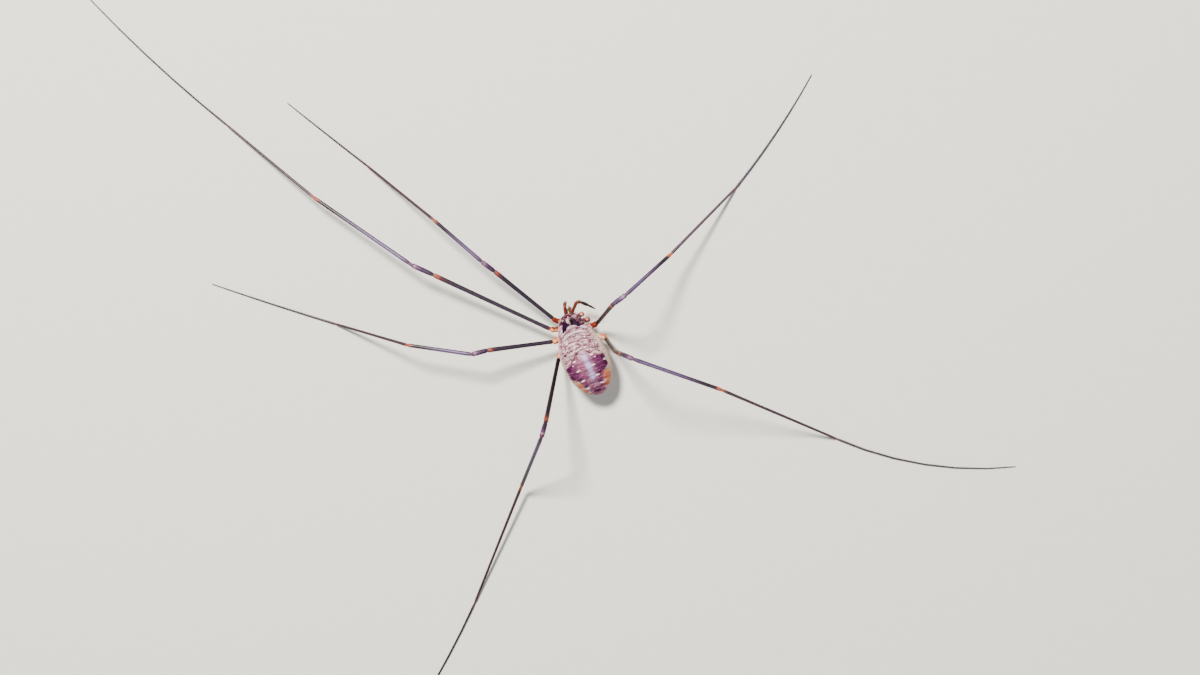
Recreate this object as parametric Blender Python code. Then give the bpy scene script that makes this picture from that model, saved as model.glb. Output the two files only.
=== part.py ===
"""Harvestman at life size, at rest on a floor, with legs 1 and 2 of its right side lost.

Units are metres and +Z is up. The sizes below are in millimetres and are multiplied by MM where a
mesh is made. In the body's own frame the head looks along -Y, the animal's left side is +X, and
the floor is z = 0. At the end the whole animal is moved so that the origin is at the centre of the
foot of its bounding box.
"""

import math

import bmesh
import bpy
import numpy as np
from mathutils import Vector

MM = 0.001
JOINT_GAP = 0.1
SHARP_ANGLE = math.radians(40)

# Legs and feelers: one thickness at every joint, with eight sides and a flat side underneath
LEG_RADIUS = 0.25
SIDES = 8
SWELLING = 0.03
SWELLING_PLACE = 0.45
SHORTEST_WITH_TWO_SWELLINGS = 1.2
TIP_RADIUS = 0.12
FOOT_HEIGHT = LEG_RADIUS * math.cos(math.pi / SIDES)

# Lengths of a leg's five segments, from the trochanter outwards, for legs 1 to 4
SEGMENTS = ("femur", "patella", "tibia", "metatarsus", "tarsus")
LEG_LENGTHS = {
    1: (6.6, 1.35, 5.75, 8.8, 9.3),
    2: (11.4, 2.1, 11.0, 10.8, 20.0),
    3: (5.8, 1.4, 6.0, 8.3, 12.2),
    4: (7.3, 1.4, 8.6, 11.8, 16.2),
}

# Pose of each whole leg. A heading is in degrees from straight ahead towards the leg's own side,
# and a pitch is in degrees above level. Femur, patella and tibia have both. The metatarsus has a
# heading only, because it comes down to the floor, where the tarsus turns from one heading to
# another.
LEG_POSES = {
    "l1": {"femur": (27, 10), "patella": (29, 9), "tibia": (27, -2), "metatarsus": 32,
           "tarsus": (30, 29)},
    "l2": {"femur": (42, 5.5), "patella": (43, 2.5), "tibia": (34, -5), "metatarsus": 30,
           "tarsus": (29, 20)},
    "l3": {"femur": (74, 18), "patella": (82, 12.5), "tibia": (60, -4), "metatarsus": 55,
           "tarsus": (51, 49)},
    "l4": {"femur": (155, 45), "patella": (146, 30), "tibia": (126, -46), "metatarsus": 134,
           "tarsus": (132, 122)},
    "r3": {"femur": (72, 59), "patella": (77, 0), "tibia": (68, -38), "metatarsus": 66,
           "tarsus": (62, 52)},
    "r4": {"femur": (130, 68.5), "patella": (130, 38), "tibia": (135, -25), "metatarsus": 139.5,
           "tarsus": (136, 106)},
}
TARSUS_PIECES = 6
TARSUS_TAPER = 0.2

# How far the middle of a bowed femur stands off the straight line between its ends
FEMUR_BOWS = {"r4": (0.10, 0.40, 0.0)}

# Coxae and trochanters on the left side: root of the coxa under the body, centre of the bulb that
# shows beside the body, heading of the bulb, and how far the bulb starts behind its centre
COXAE = {
    1: {"root": (0.42, -1.22, 1.36), "bulb": (1.17, -1.56, 1.75), "heading": 27, "behind": 0.30},
    2: {"root": (0.50, -0.70, 1.34), "bulb": (1.63, -0.91, 1.75), "heading": 55, "behind": 0.42},
    3: {"root": (0.55, -0.06, 1.32), "bulb": (1.81, 0.06, 1.75), "heading": 80, "behind": 0.45},
    4: {"root": (0.64, 0.64, 1.30), "bulb": (2.06, 1.30, 1.52), "heading": 138, "behind": 0.45},
}
COXA_RADIUS = (0.17, 0.20, 0.24, 0.27)
BULB_RADIUS = (0.27, 0.28, 0.31, 0.31)
BULB_AHEAD = 0.45
BULB_PITCH = 12

# What is left of a lost leg: its coxa with a short trochanter, at its own place
STUMPS = {
    "r1": {"root": (0.42, -1.22, 1.36), "bulb": (1.20, -1.24, 1.75), "heading": 62, "behind": 0.30},
    "r2": {"root": (0.50, -0.70, 1.34), "bulb": (1.51, -0.62, 1.75), "heading": 74, "behind": 0.42},
}
STUMP_AHEAD = 0.26
STUMP_RADIUS = 0.17

# Body: places along its length with the half width, the top and the underside there
BODY_FRONT = -1.80
BODY_BACK = 5.93
BODY_STATIONS = {
    "y": (-1.80, -1.25, -0.57, 0.00, 0.70, 1.40, 2.65, 3.50, 4.20, 5.00, 5.93),
    "half_width": (0.80, 1.00, 1.32, 1.52, 1.82, 2.04, 2.14, 2.06, 1.86, 1.46, 0.90),
    "top": (2.45, 2.80, 3.00, 3.12, 3.35, 3.62, 3.85, 3.80, 3.55, 3.00, 2.35),
    "bottom": (1.70, 1.62, 1.60, 1.60, 1.56, 1.36, 0.85, 0.78, 0.85, 1.15, 1.70),
}
FRONT_ROUNDING = 0.45
BACK_ROUNDING = 0.90
MIDDLE_HEIGHT = 0.45
BODY_SQUARENESS = 0.92
BODY_RINGS = 64
BODY_SIDES = 32
WAIST_Y = 0.40

# Furrows between the plates of the back: where each crosses the middle line, and how far it
# sweeps backwards at the sides
CARAPACE_FURROWS = (-0.56, -0.08)
CARAPACE_SWEEP = 0.42
ABDOMEN_FURROWS = (0.75, 1.45, 2.15, 2.85, 3.55, 4.20, 4.80, 5.30)
ABDOMEN_SWEEP = -0.04
FURROW_DEPTH = 0.07
FURROW_WIDTH = 0.13
BELLY_FURROWS = (1.90, 2.60, 3.30, 4.00, 4.65, 5.20)
BELLY_FURROW_DEPTH = 0.05

# Eye mound with an eye on each side
MOUND_CENTRE = (-0.10, -1.13, 3.00)
MOUND_HALF_SIZE = (0.25, 0.30, 0.42)
EYE_RADIUS = 0.15
EYE_OFFSET = (0.19, -0.05, 0.16)
EYE_GAP = 0.04
MOUND_MESH = (12, 16)
EYE_MESH = (8, 12)

# Genital plate on the underside, between the coxae
PLATE_CENTRE = (0.0, 0.30, 1.36)
PLATE_HALF_SIZE = (0.24, 0.95, 0.22)
PLATE_MESH = (12, 16)

# Chelicerae: base, elbow, and the hand that hangs down to the two fingers, each side of the
# middle of the mouth
MOUTH_X = -0.12
CHELICERA_PATH = ((0.19, -1.50, 1.60), (0.19, -2.00, 1.62), (0.19, -2.14, 1.38), (0.17, -2.10, 1.02))
CHELICERA_RADII = (0.14, 0.15, 0.15, 0.12)
FINGER_SPREAD = 0.075
FINGER_TIP_SPREAD = 0.12
FINGER_ROOT_INSIDE = 0.1
FINGER_LENGTH = 0.38
FINGER_RADII = (0.055, 0.02)
FINGER_SIDES = 6

# Pedipalps: the left one reaches ahead and hangs down, the right one bends back over its own side.
# Each has the joints at the ends of its femur, patella and tibia, and the tip of its tarsus
PALP_PIECES = ("femur", "patella", "tibia", "tarsus")
PALP_PATHS = {
    "l": ((0.16, -1.50, 2.12), (-0.15, -2.45, 2.26), (-0.19, -2.70, 1.92), (-0.15, -2.74, 1.25),
          (-0.02, -2.70, 0.45)),
    "r": ((-0.24, -1.45, 2.12), (-1.30, -2.42, 2.32), (-1.62, -2.28, 2.30), (-2.10, -1.77, 2.10),
          (-2.53, -1.22, 1.85)),
}
PALP_RADII = (0.25, 0.26, 0.26, 0.25, 0.12)
PALP_SWELLING = 0.02

# Colour, roughness of each finish
FINISHES = {
    "back": ("#6d5a5c", 0.55),
    "mound": ("#cdb7b4", 0.50),
    "eye": ("#0b0a0c", 0.10),
    "coxa": ("#d98a4e", 0.45),
    "palp": ("#b0703f", 0.45),
    "belly": ("#d8c7ae", 0.60),
    "leg": ("#3a2a2c", 0.45),
    "foot": ("#4a3733", 0.55),
}


def clear_scene():
    for old in list(bpy.data.objects):
        bpy.data.objects.remove(old, do_unlink=True)


def linear(channel):
    """One sRGB channel from 0 to 1 as linear light."""
    if channel <= 0.04045:
        return channel / 12.92
    return ((channel + 0.055) / 1.055) ** 2.4


def finish(name):
    """Material of one finish, made once."""
    if name in bpy.data.materials:
        return bpy.data.materials[name]
    colour, roughness = FINISHES[name]
    material = bpy.data.materials.new(name)
    material.use_nodes = True
    shader = material.node_tree.nodes["Principled BSDF"]
    channels = [linear(int(colour[i:i + 2], 16) / 255) for i in (1, 3, 5)]
    shader.inputs["Base Color"].default_value = (*channels, 1.0)
    shader.inputs["Roughness"].default_value = roughness
    shader.inputs["Metallic"].default_value = 0.0
    return material


def new_collection(name):
    collection = bpy.data.collections.new(name)
    bpy.context.scene.collection.children.link(collection)
    return collection


def object_from(bm, name, finish_name, collection):
    """Object from a bmesh in millimetres, in triangles that face out and are shaded smooth."""
    bmesh.ops.triangulate(bm, faces=bm.faces)
    bmesh.ops.recalc_face_normals(bm, faces=bm.faces)
    bmesh.ops.scale(bm, vec=(MM, MM, MM), verts=bm.verts)
    mesh = bpy.data.meshes.new(name)
    bm.to_mesh(mesh)
    bm.free()
    mesh.materials.append(finish(finish_name))
    mesh.shade_smooth()
    mesh.set_sharp_from_angle(angle=SHARP_ANGLE)
    made = bpy.data.objects.new(name, mesh)
    collection.objects.link(made)
    return made


def keep_largest(mesh):
    """Drop every surface of a mesh but the one with the most vertices."""
    bm = bmesh.new()
    bm.from_mesh(mesh)
    left = set(bm.verts)
    pieces = []
    while left:
        piece = {left.pop()}
        edge_of_piece = list(piece)
        while edge_of_piece:
            vertex = edge_of_piece.pop()
            for edge in vertex.link_edges:
                other = edge.other_vert(vertex)
                if other in left:
                    left.discard(other)
                    piece.add(other)
                    edge_of_piece.append(other)
        pieces.append(piece)
    pieces.sort(key=len)
    for piece in pieces[:-1]:
        bmesh.ops.delete(bm, geom=list(piece), context="VERTS")
    bm.to_mesh(mesh)
    bm.free()


def apply_boolean(target, operation, cutter=None, group=None):
    """Cut or join an object by one object, or by every object of a collection."""
    boolean = target.modifiers.new(operation.lower(), "BOOLEAN")
    boolean.operation = operation
    boolean.solver = "EXACT"
    if group is None:
        boolean.object = cutter
    else:
        boolean.operand_type = "COLLECTION"
        boolean.collection = group
    bpy.context.view_layer.update()
    evaluated = target.evaluated_get(bpy.context.evaluated_depsgraph_get())
    mesh = bpy.data.meshes.new_from_object(evaluated)
    target.modifiers.clear()
    target.data = mesh
    keep_largest(mesh)


def direction(heading, pitch, side):
    """Unit vector of a heading and a pitch in degrees, for the side +1 left or -1 right."""
    turn = math.radians(heading)
    rise = math.radians(pitch)
    level = math.cos(rise)
    return Vector((side * math.sin(turn) * level, -math.cos(turn) * level, math.sin(rise)))


def tube(centres, radii, before=None, after=None, start_gap=0.0, end_gap=0.0, sides=SIDES):
    """Mesh in millimetres of a tube along centres, mitred at its bends and at both ends.

    before and after are the directions of the pieces that it meets, and each end stops its gap
    short of the plane that halves the bend there.
    """
    points = [Vector(point) for point in centres]
    runs = [(b - a).normalized() for a, b in zip(points, points[1:])]
    last = len(points) - 1
    bm = bmesh.new()
    rings = []
    earlier_across = None
    for i, (centre, radius) in enumerate(zip(points, radii)):
        incoming = runs[i - 1] if i > 0 else (before or runs[0])
        outgoing = runs[i] if i < last else (after or runs[-1])
        own = runs[i] if i == 0 else runs[i - 1]
        plane = (incoming + outgoing).normalized()
        shift = start_gap if i == 0 else (-end_gap if i == last else 0.0)
        across = own.cross(Vector((0, 0, 1))).normalized()
        if earlier_across is not None and across.dot(earlier_across) < 0:
            across.negate()
        earlier_across = across
        up = across.cross(own).normalized()
        ring = []
        for k in range(sides):
            angle = 2 * math.pi * (k + 0.5) / sides - math.pi / 2
            spoke = radius * (math.cos(angle) * across + math.sin(angle) * up)
            slide = (shift - spoke.dot(plane)) / own.dot(plane)
            ring.append(bm.verts.new(centre + spoke + own * slide))
        rings.append(ring)
    for ring, following in zip(rings, rings[1:]):
        for k in range(sides):
            after_k = (k + 1) % sides
            bm.faces.new((ring[k], ring[after_k], following[after_k], following[k]))
    bm.faces.new(rings[0])
    bm.faces.new(rings[-1])
    return bm


def smooth_through(y, places, values):
    """Height at y of a smooth curve through a row of places and values."""
    places = np.asarray(places, float)
    values = np.asarray(values, float)
    slopes = np.gradient(values, places)
    i = int(np.clip(np.searchsorted(places, y) - 1, 0, len(places) - 2))
    step = places[i + 1] - places[i]
    t = min(max((y - places[i]) / step, 0.0), 1.0)
    rise = 3 * t ** 2 - 2 * t ** 3
    start_part = (t ** 3 - 2 * t ** 2 + t) * step * slopes[i]
    end_part = (t ** 3 - t ** 2) * step * slopes[i + 1]
    return float(values[i] * (1 - rise) + values[i + 1] * rise + start_part + end_part)


def end_rounding(y, offset):
    """How much of the full width the body has at y, from 0 at its two ends to 1."""
    from_front = min(max((y - BODY_FRONT + offset) / FRONT_ROUNDING, 0.0), 1.0)
    from_back = min(max((BODY_BACK + offset - y) / BACK_ROUNDING, 0.0), 1.0)
    return math.sqrt(1 - (1 - from_front) ** 2) * math.sqrt(1 - (1 - from_back) ** 2)


def furrow_depth(x, y, rows, depth):
    """Depth at one place of a set of furrows, each row a place and its sweep."""
    total = 0.0
    for place, sweep in rows:
        away = (y - place - sweep * x * x) / FURROW_WIDTH
        total += depth * math.exp(-away * away)
    return total


BACK_ROWS = [(place, CARAPACE_SWEEP) for place in CARAPACE_FURROWS]
BACK_ROWS += [(place, ABDOMEN_SWEEP) for place in ABDOMEN_FURROWS]
BELLY_ROWS = [(place, 0.0) for place in BELLY_FURROWS]


def body_shape(offset=0.0):
    """Mesh in millimetres of the whole body, grown by an offset."""
    bm = bmesh.new()
    bmesh.ops.create_uvsphere(bm, u_segments=BODY_SIDES, v_segments=BODY_RINGS, radius=1.0)
    length = BODY_BACK - BODY_FRONT + 2 * offset
    stations = BODY_STATIONS["y"]
    for vertex in bm.verts:
        ring_place = math.acos(min(max(vertex.co.z, -1.0), 1.0)) / math.pi
        y = BODY_FRONT - offset + length * ring_place
        around = math.atan2(vertex.co.y, vertex.co.x)
        width = smooth_through(y, stations, BODY_STATIONS["half_width"]) + offset
        top = smooth_through(y, stations, BODY_STATIONS["top"]) + offset
        bottom = smooth_through(y, stations, BODY_STATIONS["bottom"]) - offset
        middle = bottom + MIDDLE_HEIGHT * (top - bottom)
        scale = end_rounding(y, offset) if 0.0 < ring_place < 1.0 else 0.0
        cosine = math.cos(around)
        sine = math.sin(around)
        x = width * scale * math.copysign(abs(cosine) ** BODY_SQUARENESS, cosine)
        reach = (top if sine > 0 else 2 * middle - bottom) - middle
        z = middle + reach * scale * math.copysign(abs(sine) ** BODY_SQUARENESS, sine)
        if sine > 0:
            z -= furrow_depth(x, y, BACK_ROWS, FURROW_DEPTH) * sine * scale
        else:
            z -= furrow_depth(x, y, BELLY_ROWS, BELLY_FURROW_DEPTH) * sine * scale
        vertex.co = (x, y, z)
    return bm


def cut_body(side_of_waist):
    """The body before the waist (-1) or behind it (+1), closed by a flat face."""
    bm = body_shape()
    plane_y = WAIST_Y + side_of_waist * JOINT_GAP / 2
    geometry = list(bm.verts) + list(bm.edges) + list(bm.faces)
    cut = bmesh.ops.bisect_plane(
        bm, geom=geometry, plane_co=(0, plane_y, 0), plane_no=(0, side_of_waist, 0),
        clear_inner=True, clear_outer=False)
    rim = [item for item in cut["geom_cut"] if isinstance(item, bmesh.types.BMEdge)]
    bmesh.ops.holes_fill(bm, edges=rim, sides=0)
    return bm


def ellipsoid(centre, half_size, rings, sides):
    bm = bmesh.new()
    bmesh.ops.create_uvsphere(bm, u_segments=sides, v_segments=rings, radius=1.0)
    bmesh.ops.scale(bm, vec=half_size, verts=bm.verts)
    bmesh.ops.translate(bm, vec=centre, verts=bm.verts)
    return bm


def mirrored(point, side):
    return Vector((side * point[0], point[1], point[2]))


def bulb_direction(number, side):
    return direction(COXAE[number]["heading"], BULB_PITCH, side)


def leg_start(number, side):
    """Where a leg's femur meets its trochanter."""
    return mirrored(COXAE[number]["bulb"], side) + BULB_AHEAD * bulb_direction(number, side)


def leg_joints(leg):
    """Joints of a whole leg from the trochanter to the start of the tarsus, and its directions."""
    side = 1 if leg[0] == "l" else -1
    number = int(leg[1])
    pose = LEG_POSES[leg]
    lengths = LEG_LENGTHS[number]
    joints = [leg_start(number, side)]
    ways = []
    for segment, length in zip(SEGMENTS[:3], lengths):
        ways.append(direction(*pose[segment], side))
        joints.append(joints[-1] + length * ways[-1])
    drop = joints[-1].z - FOOT_HEIGHT
    pitch = -math.degrees(math.asin(drop / lengths[3]))
    ways.append(direction(pose["metatarsus"], pitch, side))
    joints.append(joints[-1] + lengths[3] * ways[-1])
    return joints, ways


def tarsus_path(leg, start):
    """Centres and radii of a tarsus that lies on the floor and turns evenly."""
    side = 1 if leg[0] == "l" else -1
    length = LEG_LENGTHS[int(leg[1])][4]
    first, final = LEG_POSES[leg]["tarsus"]
    centres = [Vector(start)]
    radii = [LEG_RADIUS]
    for piece in range(TARSUS_PIECES):
        share = (piece + 0.5) / TARSUS_PIECES
        way = direction(first + (final - first) * share, 0, side)
        centres.append(centres[-1] + way * length / TARSUS_PIECES)
        radii.append(LEG_RADIUS)
    radii[-1] = TIP_RADIUS
    near_tip = centres[-2].lerp(centres[-1], 1 - TARSUS_TAPER)
    centres.insert(-1, near_tip)
    radii.insert(-1, (LEG_RADIUS + TIP_RADIUS) / 2)
    for centre, radius in zip(centres, radii):
        centre.z = radius * math.cos(math.pi / SIDES)
    return centres, radii


def make_leg(leg, parts):
    """The five segments of one leg, each mitred to the next."""
    joints, ways = leg_joints(leg)
    number = int(leg[1])
    side = 1 if leg[0] == "l" else -1
    half_gap = JOINT_GAP / 2
    foot, foot_radii = tarsus_path(leg, joints[-1])
    ways.append((foot[1] - foot[0]).normalized())
    before = bulb_direction(number, side)
    for i, segment in enumerate(SEGMENTS[:4]):
        start, end = joints[i], joints[i + 1]
        length = (end - start).length
        inset = SWELLING_PLACE / length
        shares = (0.0, inset, 0.5, 1 - inset, 1.0)
        swell = (0.0, SWELLING, 0.0, SWELLING, 0.0)
        if length < SHORTEST_WITH_TWO_SWELLINGS:
            shares = (0.0, 0.5, 1.0)
            swell = (0.0, SWELLING, 0.0)
        elif segment == "metatarsus":
            swell = (0.0, SWELLING, 0.0, 0.0, 0.0)
        bow = Vector(FEMUR_BOWS.get(leg, (0, 0, 0))) if segment == "femur" else Vector((0, 0, 0))
        centres = [start.lerp(end, share) + bow * math.sin(math.pi * share) for share in shares]
        radii = [LEG_RADIUS + more for more in swell]
        bm = tube(centres, radii, before, ways[i + 1], half_gap, half_gap)
        object_from(bm, f"{segment}_{leg}", "leg", parts)
        before = ways[i]
    bm = tube(foot, foot_radii, before=before, start_gap=half_gap)
    object_from(bm, f"tarsus_{leg}", "foot", parts)


def make_coxa(leg, parts, clearance):
    """Coxa and trochanter of one leg, cut clear of the body."""
    side = 1 if leg[0] == "l" else -1
    number = int(leg[1])
    sizes = STUMPS.get(leg, COXAE[number])
    way = direction(sizes["heading"], BULB_PITCH, side)
    bulb = mirrored(sizes["bulb"], side)
    ahead = STUMP_AHEAD if leg in STUMPS else BULB_AHEAD
    centres = [mirrored(sizes["root"], side), bulb - sizes["behind"] * way, bulb,
               bulb + ahead * way]
    coxa_radius = COXA_RADIUS[number - 1]
    bulb_radius = BULB_RADIUS[number - 1]
    if leg in STUMPS:
        radii = [coxa_radius, bulb_radius, bulb_radius, STUMP_RADIUS]
        bm = tube(centres, radii)
    else:
        radii = [coxa_radius, bulb_radius, bulb_radius, LEG_RADIUS]
        femur = direction(*LEG_POSES[leg]["femur"], side)
        bm = tube(centres, radii, after=femur, end_gap=JOINT_GAP / 2)
    coxa = object_from(bm, f"coxa_{leg}", "coxa", parts)
    apply_boolean(coxa, "DIFFERENCE", cutter=clearance)


def make_eye_mound(parts, cutters, clearance):
    mound = object_from(
        ellipsoid(MOUND_CENTRE, MOUND_HALF_SIZE, *MOUND_MESH), "ocularium", "mound", parts)
    apply_boolean(mound, "DIFFERENCE", cutter=clearance)
    for name, side in (("l", 1), ("r", -1)):
        place = Vector(MOUND_CENTRE) + mirrored(EYE_OFFSET, side)
        pocket_size = (EYE_RADIUS + EYE_GAP,) * 3
        pocket = object_from(
            ellipsoid(place, pocket_size, *MOUND_MESH), f"eye_pocket_{name}", "mound", cutters)
        apply_boolean(mound, "DIFFERENCE", cutter=pocket)
        object_from(ellipsoid(place, (EYE_RADIUS,) * 3, *EYE_MESH), f"eye_{name}", "eye", parts)


def make_chelicera(name, side, parts, clearance):
    """One chelicera: two segments and a pair of fingers, fused."""
    path = [mirrored(point, side) + Vector((MOUTH_X, 0, 0)) for point in CHELICERA_PATH]
    limb = object_from(tube(path, CHELICERA_RADII), f"chelicera_{name}", "palp", parts)
    fingers = new_collection(f"fingers_{name}")
    hand = path[-1]
    for finger, way in (("fixed", -1), ("moving", 1)):
        root = hand + Vector((0, way * FINGER_SPREAD, FINGER_ROOT_INSIDE))
        tip = hand + Vector((0, way * FINGER_TIP_SPREAD, -FINGER_LENGTH))
        bm = tube((root, tip), FINGER_RADII, sides=FINGER_SIDES)
        object_from(bm, f"{finger}_{name}", "palp", fingers)
    apply_boolean(limb, "UNION", group=fingers)
    for finger in list(fingers.objects):
        bpy.data.objects.remove(finger, do_unlink=True)
    apply_boolean(limb, "DIFFERENCE", cutter=clearance)


def make_palp(name, parts, clearance):
    """The four segments of one pedipalp, each mitred to the next."""
    path = [Vector(point) for point in PALP_PATHS[name]]
    ways = [(b - a).normalized() for a, b in zip(path, path[1:])]
    half_gap = JOINT_GAP / 2
    for i, segment in enumerate(PALP_PIECES):
        before = ways[i - 1] if i > 0 else None
        after = ways[i + 1] if i + 1 < len(ways) else None
        centres = (path[i], path[i].lerp(path[i + 1], 0.5), path[i + 1])
        thickest = max(PALP_RADII[i], PALP_RADII[i + 1])
        radii = (PALP_RADII[i], thickest + PALP_SWELLING, PALP_RADII[i + 1])
        bm = tube(centres, radii, before, after, half_gap if i > 0 else 0.0,
                  half_gap if after else 0.0)
        piece = object_from(bm, f"palp_{segment}_{name}", "palp", parts)
        if i == 0:
            apply_boolean(piece, "DIFFERENCE", cutter=clearance)


def move_to_origin(parts):
    """Put the origin at the centre of the foot of the whole animal's bounding box."""
    corners = np.concatenate([
        np.array([tuple(vertex.co) for vertex in part.data.vertices]) for part in parts.objects])
    low = corners.min(axis=0)
    high = corners.max(axis=0)
    shift = Vector((-(low[0] + high[0]) / 2, -(low[1] + high[1]) / 2, -low[2]))
    for part in parts.objects:
        part.location = shift


def make_harvestman():
    clear_scene()
    parts = new_collection("harvestman")
    cutters = new_collection("cutters")
    object_from(cut_body(-1), "prosoma", "back", parts)
    object_from(cut_body(1), "opisthosoma", "back", parts)
    clearance = object_from(body_shape(JOINT_GAP), "body_clearance", "back", cutters)
    make_eye_mound(parts, cutters, clearance)
    plate = object_from(
        ellipsoid(PLATE_CENTRE, PLATE_HALF_SIZE, *PLATE_MESH), "genital_plate", "belly", parts)
    apply_boolean(plate, "DIFFERENCE", cutter=clearance)
    for name, side in (("l", 1), ("r", -1)):
        make_chelicera(name, side, parts, clearance)
        make_palp(name, parts, clearance)
        for number in COXAE:
            make_coxa(f"{name}{number}", parts, clearance)
    for leg in LEG_POSES:
        make_leg(leg, parts)
    for cutter in cutters.objects:
        cutter.hide_render = True
        cutter.display_type = "WIRE"
    move_to_origin(parts)


make_harvestman()
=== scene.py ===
# %% [markdown]
# # A harvestman at life size
# A still museum model: a body of 8 mm carried low between six long legs, with two legs of its
# right side lost. The lesson loads the solid model as a fixed frame, and then dresses it with a
# marked skin, thin legs, eyes, jaws, feelers, thorns and hairs. Sizes are in millimetres in the
# body's own frame, where the head looks along -Y, the animal's left is +X and the floor is z = 0.

# %% Load the frame
import math

import bpy
import numpy as np
from mathutils import Matrix, Vector


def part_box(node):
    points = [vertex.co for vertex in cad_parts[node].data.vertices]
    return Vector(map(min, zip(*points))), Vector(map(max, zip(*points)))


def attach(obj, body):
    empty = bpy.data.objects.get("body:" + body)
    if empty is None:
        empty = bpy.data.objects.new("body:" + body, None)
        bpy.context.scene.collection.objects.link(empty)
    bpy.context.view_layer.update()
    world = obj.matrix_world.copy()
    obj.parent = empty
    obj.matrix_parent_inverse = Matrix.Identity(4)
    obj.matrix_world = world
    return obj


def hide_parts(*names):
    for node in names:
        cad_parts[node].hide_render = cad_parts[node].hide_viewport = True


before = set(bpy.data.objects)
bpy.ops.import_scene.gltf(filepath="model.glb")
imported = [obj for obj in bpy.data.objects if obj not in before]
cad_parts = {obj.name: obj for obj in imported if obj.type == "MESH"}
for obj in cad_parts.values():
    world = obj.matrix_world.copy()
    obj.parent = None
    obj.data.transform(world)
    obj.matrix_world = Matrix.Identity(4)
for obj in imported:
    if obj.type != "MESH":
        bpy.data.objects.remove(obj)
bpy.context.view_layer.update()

MM = 0.001
HEAD_FRONT = -1.80
MOUND_CENTRE = (-0.10, -1.13, 3.00)
mound_low, mound_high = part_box("ocularium")
BODY_ORIGIN = Vector(((mound_low.x + mound_high.x) / 2 - MOUND_CENTRE[0] * MM,
                      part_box("prosoma")[0].y - HEAD_FRONT * MM, 0.0))
ORIGIN = np.array(BODY_ORIGIN)
print("solids:", len(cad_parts), "- body origin in mm:",
      [round(value / MM, 3) for value in BODY_ORIGIN])


# %% [markdown]
# The photograph looks almost straight down on the animal, with the head towards the upper left.
# The camera comes first, because everything else is judged through it. Its axes are three
# vectors in the body's frame, worked out from how the middle line lies in the picture, which is
# plainer than three angles.

# %% Camera
CAMERA_BACK = Vector((-0.190, 0.0, 0.9818)).normalized()
BODY_AHEAD = Vector((0.0, -1.0, 0.0))
HEAD_LEFT, HEAD_UP = Vector((0.388, 0.922)).normalized()
PIXELS_PER_MM = 11.3
CAMERA_DISTANCE = 300.0
PICTURE_SIZE = (1200, 675)
SENSOR_WIDTH = 36.0
TARGET = Vector((0.0, 0.0, 2.0))
TARGET_PIXEL = (574.5, 332.5)

body_right = BODY_AHEAD.cross(CAMERA_BACK).normalized()
picture_right = -HEAD_LEFT * BODY_AHEAD + HEAD_UP * body_right
picture_up = HEAD_UP * BODY_AHEAD + HEAD_LEFT * body_right
off_right = (TARGET_PIXEL[0] - PICTURE_SIZE[0] / 2) / PIXELS_PER_MM
off_up = (PICTURE_SIZE[1] / 2 - TARGET_PIXEL[1]) / PIXELS_PER_MM
aim = TARGET - off_right * picture_right - off_up * picture_up
eye_point = BODY_ORIGIN + (aim + CAMERA_DISTANCE * CAMERA_BACK) * MM

bpy.ops.object.camera_add(location=eye_point)
camera = bpy.context.object
camera.name = "camera"
camera.rotation_euler = Matrix((picture_right, picture_up, CAMERA_BACK)).transposed().to_euler()
camera.data.sensor_width = SENSOR_WIDTH
camera.data.lens = PIXELS_PER_MM * CAMERA_DISTANCE / PICTURE_SIZE[0] * SENSOR_WIDTH
camera.data.clip_start = 10 * MM
bpy.context.scene.camera = camera
print("camera height in mm:", round(eye_point.z / MM), "lens:", round(camera.data.lens, 1))


# %% [markdown]
# The floor is plain pale paper, and the light is that of a small studio: one big soft lamp on
# the side the daylight comes from in the photograph, a weaker one opposite, and a pale sky. A
# sheet with a little grain looks more real than a flat colour, and costs one noise texture.

# %% Colour, node and selection helpers
def colour(code):
    """Linear colour with alpha for an sRGB hex code."""
    channels = [int(code[i:i + 2], 16) / 255 for i in (1, 3, 5)]
    linear = [c / 12.92 if c <= 0.04045 else ((c + 0.055) / 1.055) ** 2.4 for c in channels]
    return (*linear, 1.0)


def add(material, kind, settings, inputs):
    """Add a shader node. An input is given a value, or the output of another node."""
    new = material.node_tree.nodes.new(kind)
    for name, value in settings.items():
        setattr(new, name, value)
    for name, value in inputs.items():
        if isinstance(value, bpy.types.NodeSocket):
            material.node_tree.links.new(value, new.inputs[name])
        else:
            new.inputs[name].default_value = value
    return new


def start_material(name, **inputs):
    """A material, with the plain values that its shader starts from."""
    material = bpy.data.materials.new(name)
    material.use_nodes = True
    shader = material.node_tree.nodes["Principled BSDF"]
    for socket, value in inputs.items():
        shader.inputs[socket.replace("_", " ")].default_value = value
    return material


def feed(material, socket, output):
    """Link an output to one of the shader's sockets."""
    shader = material.node_tree.nodes["Principled BSDF"]
    material.node_tree.links.new(output, shader.inputs[socket])


def only(*objects):
    """Select just these objects and make the first one active."""
    bpy.ops.object.select_all(action="DESELECT")
    for item in objects:
        item.select_set(True)
    bpy.context.view_layer.objects.active = objects[0]


MIX_A, MIX_B, MIX_OUT = 6, 7, 2


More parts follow.
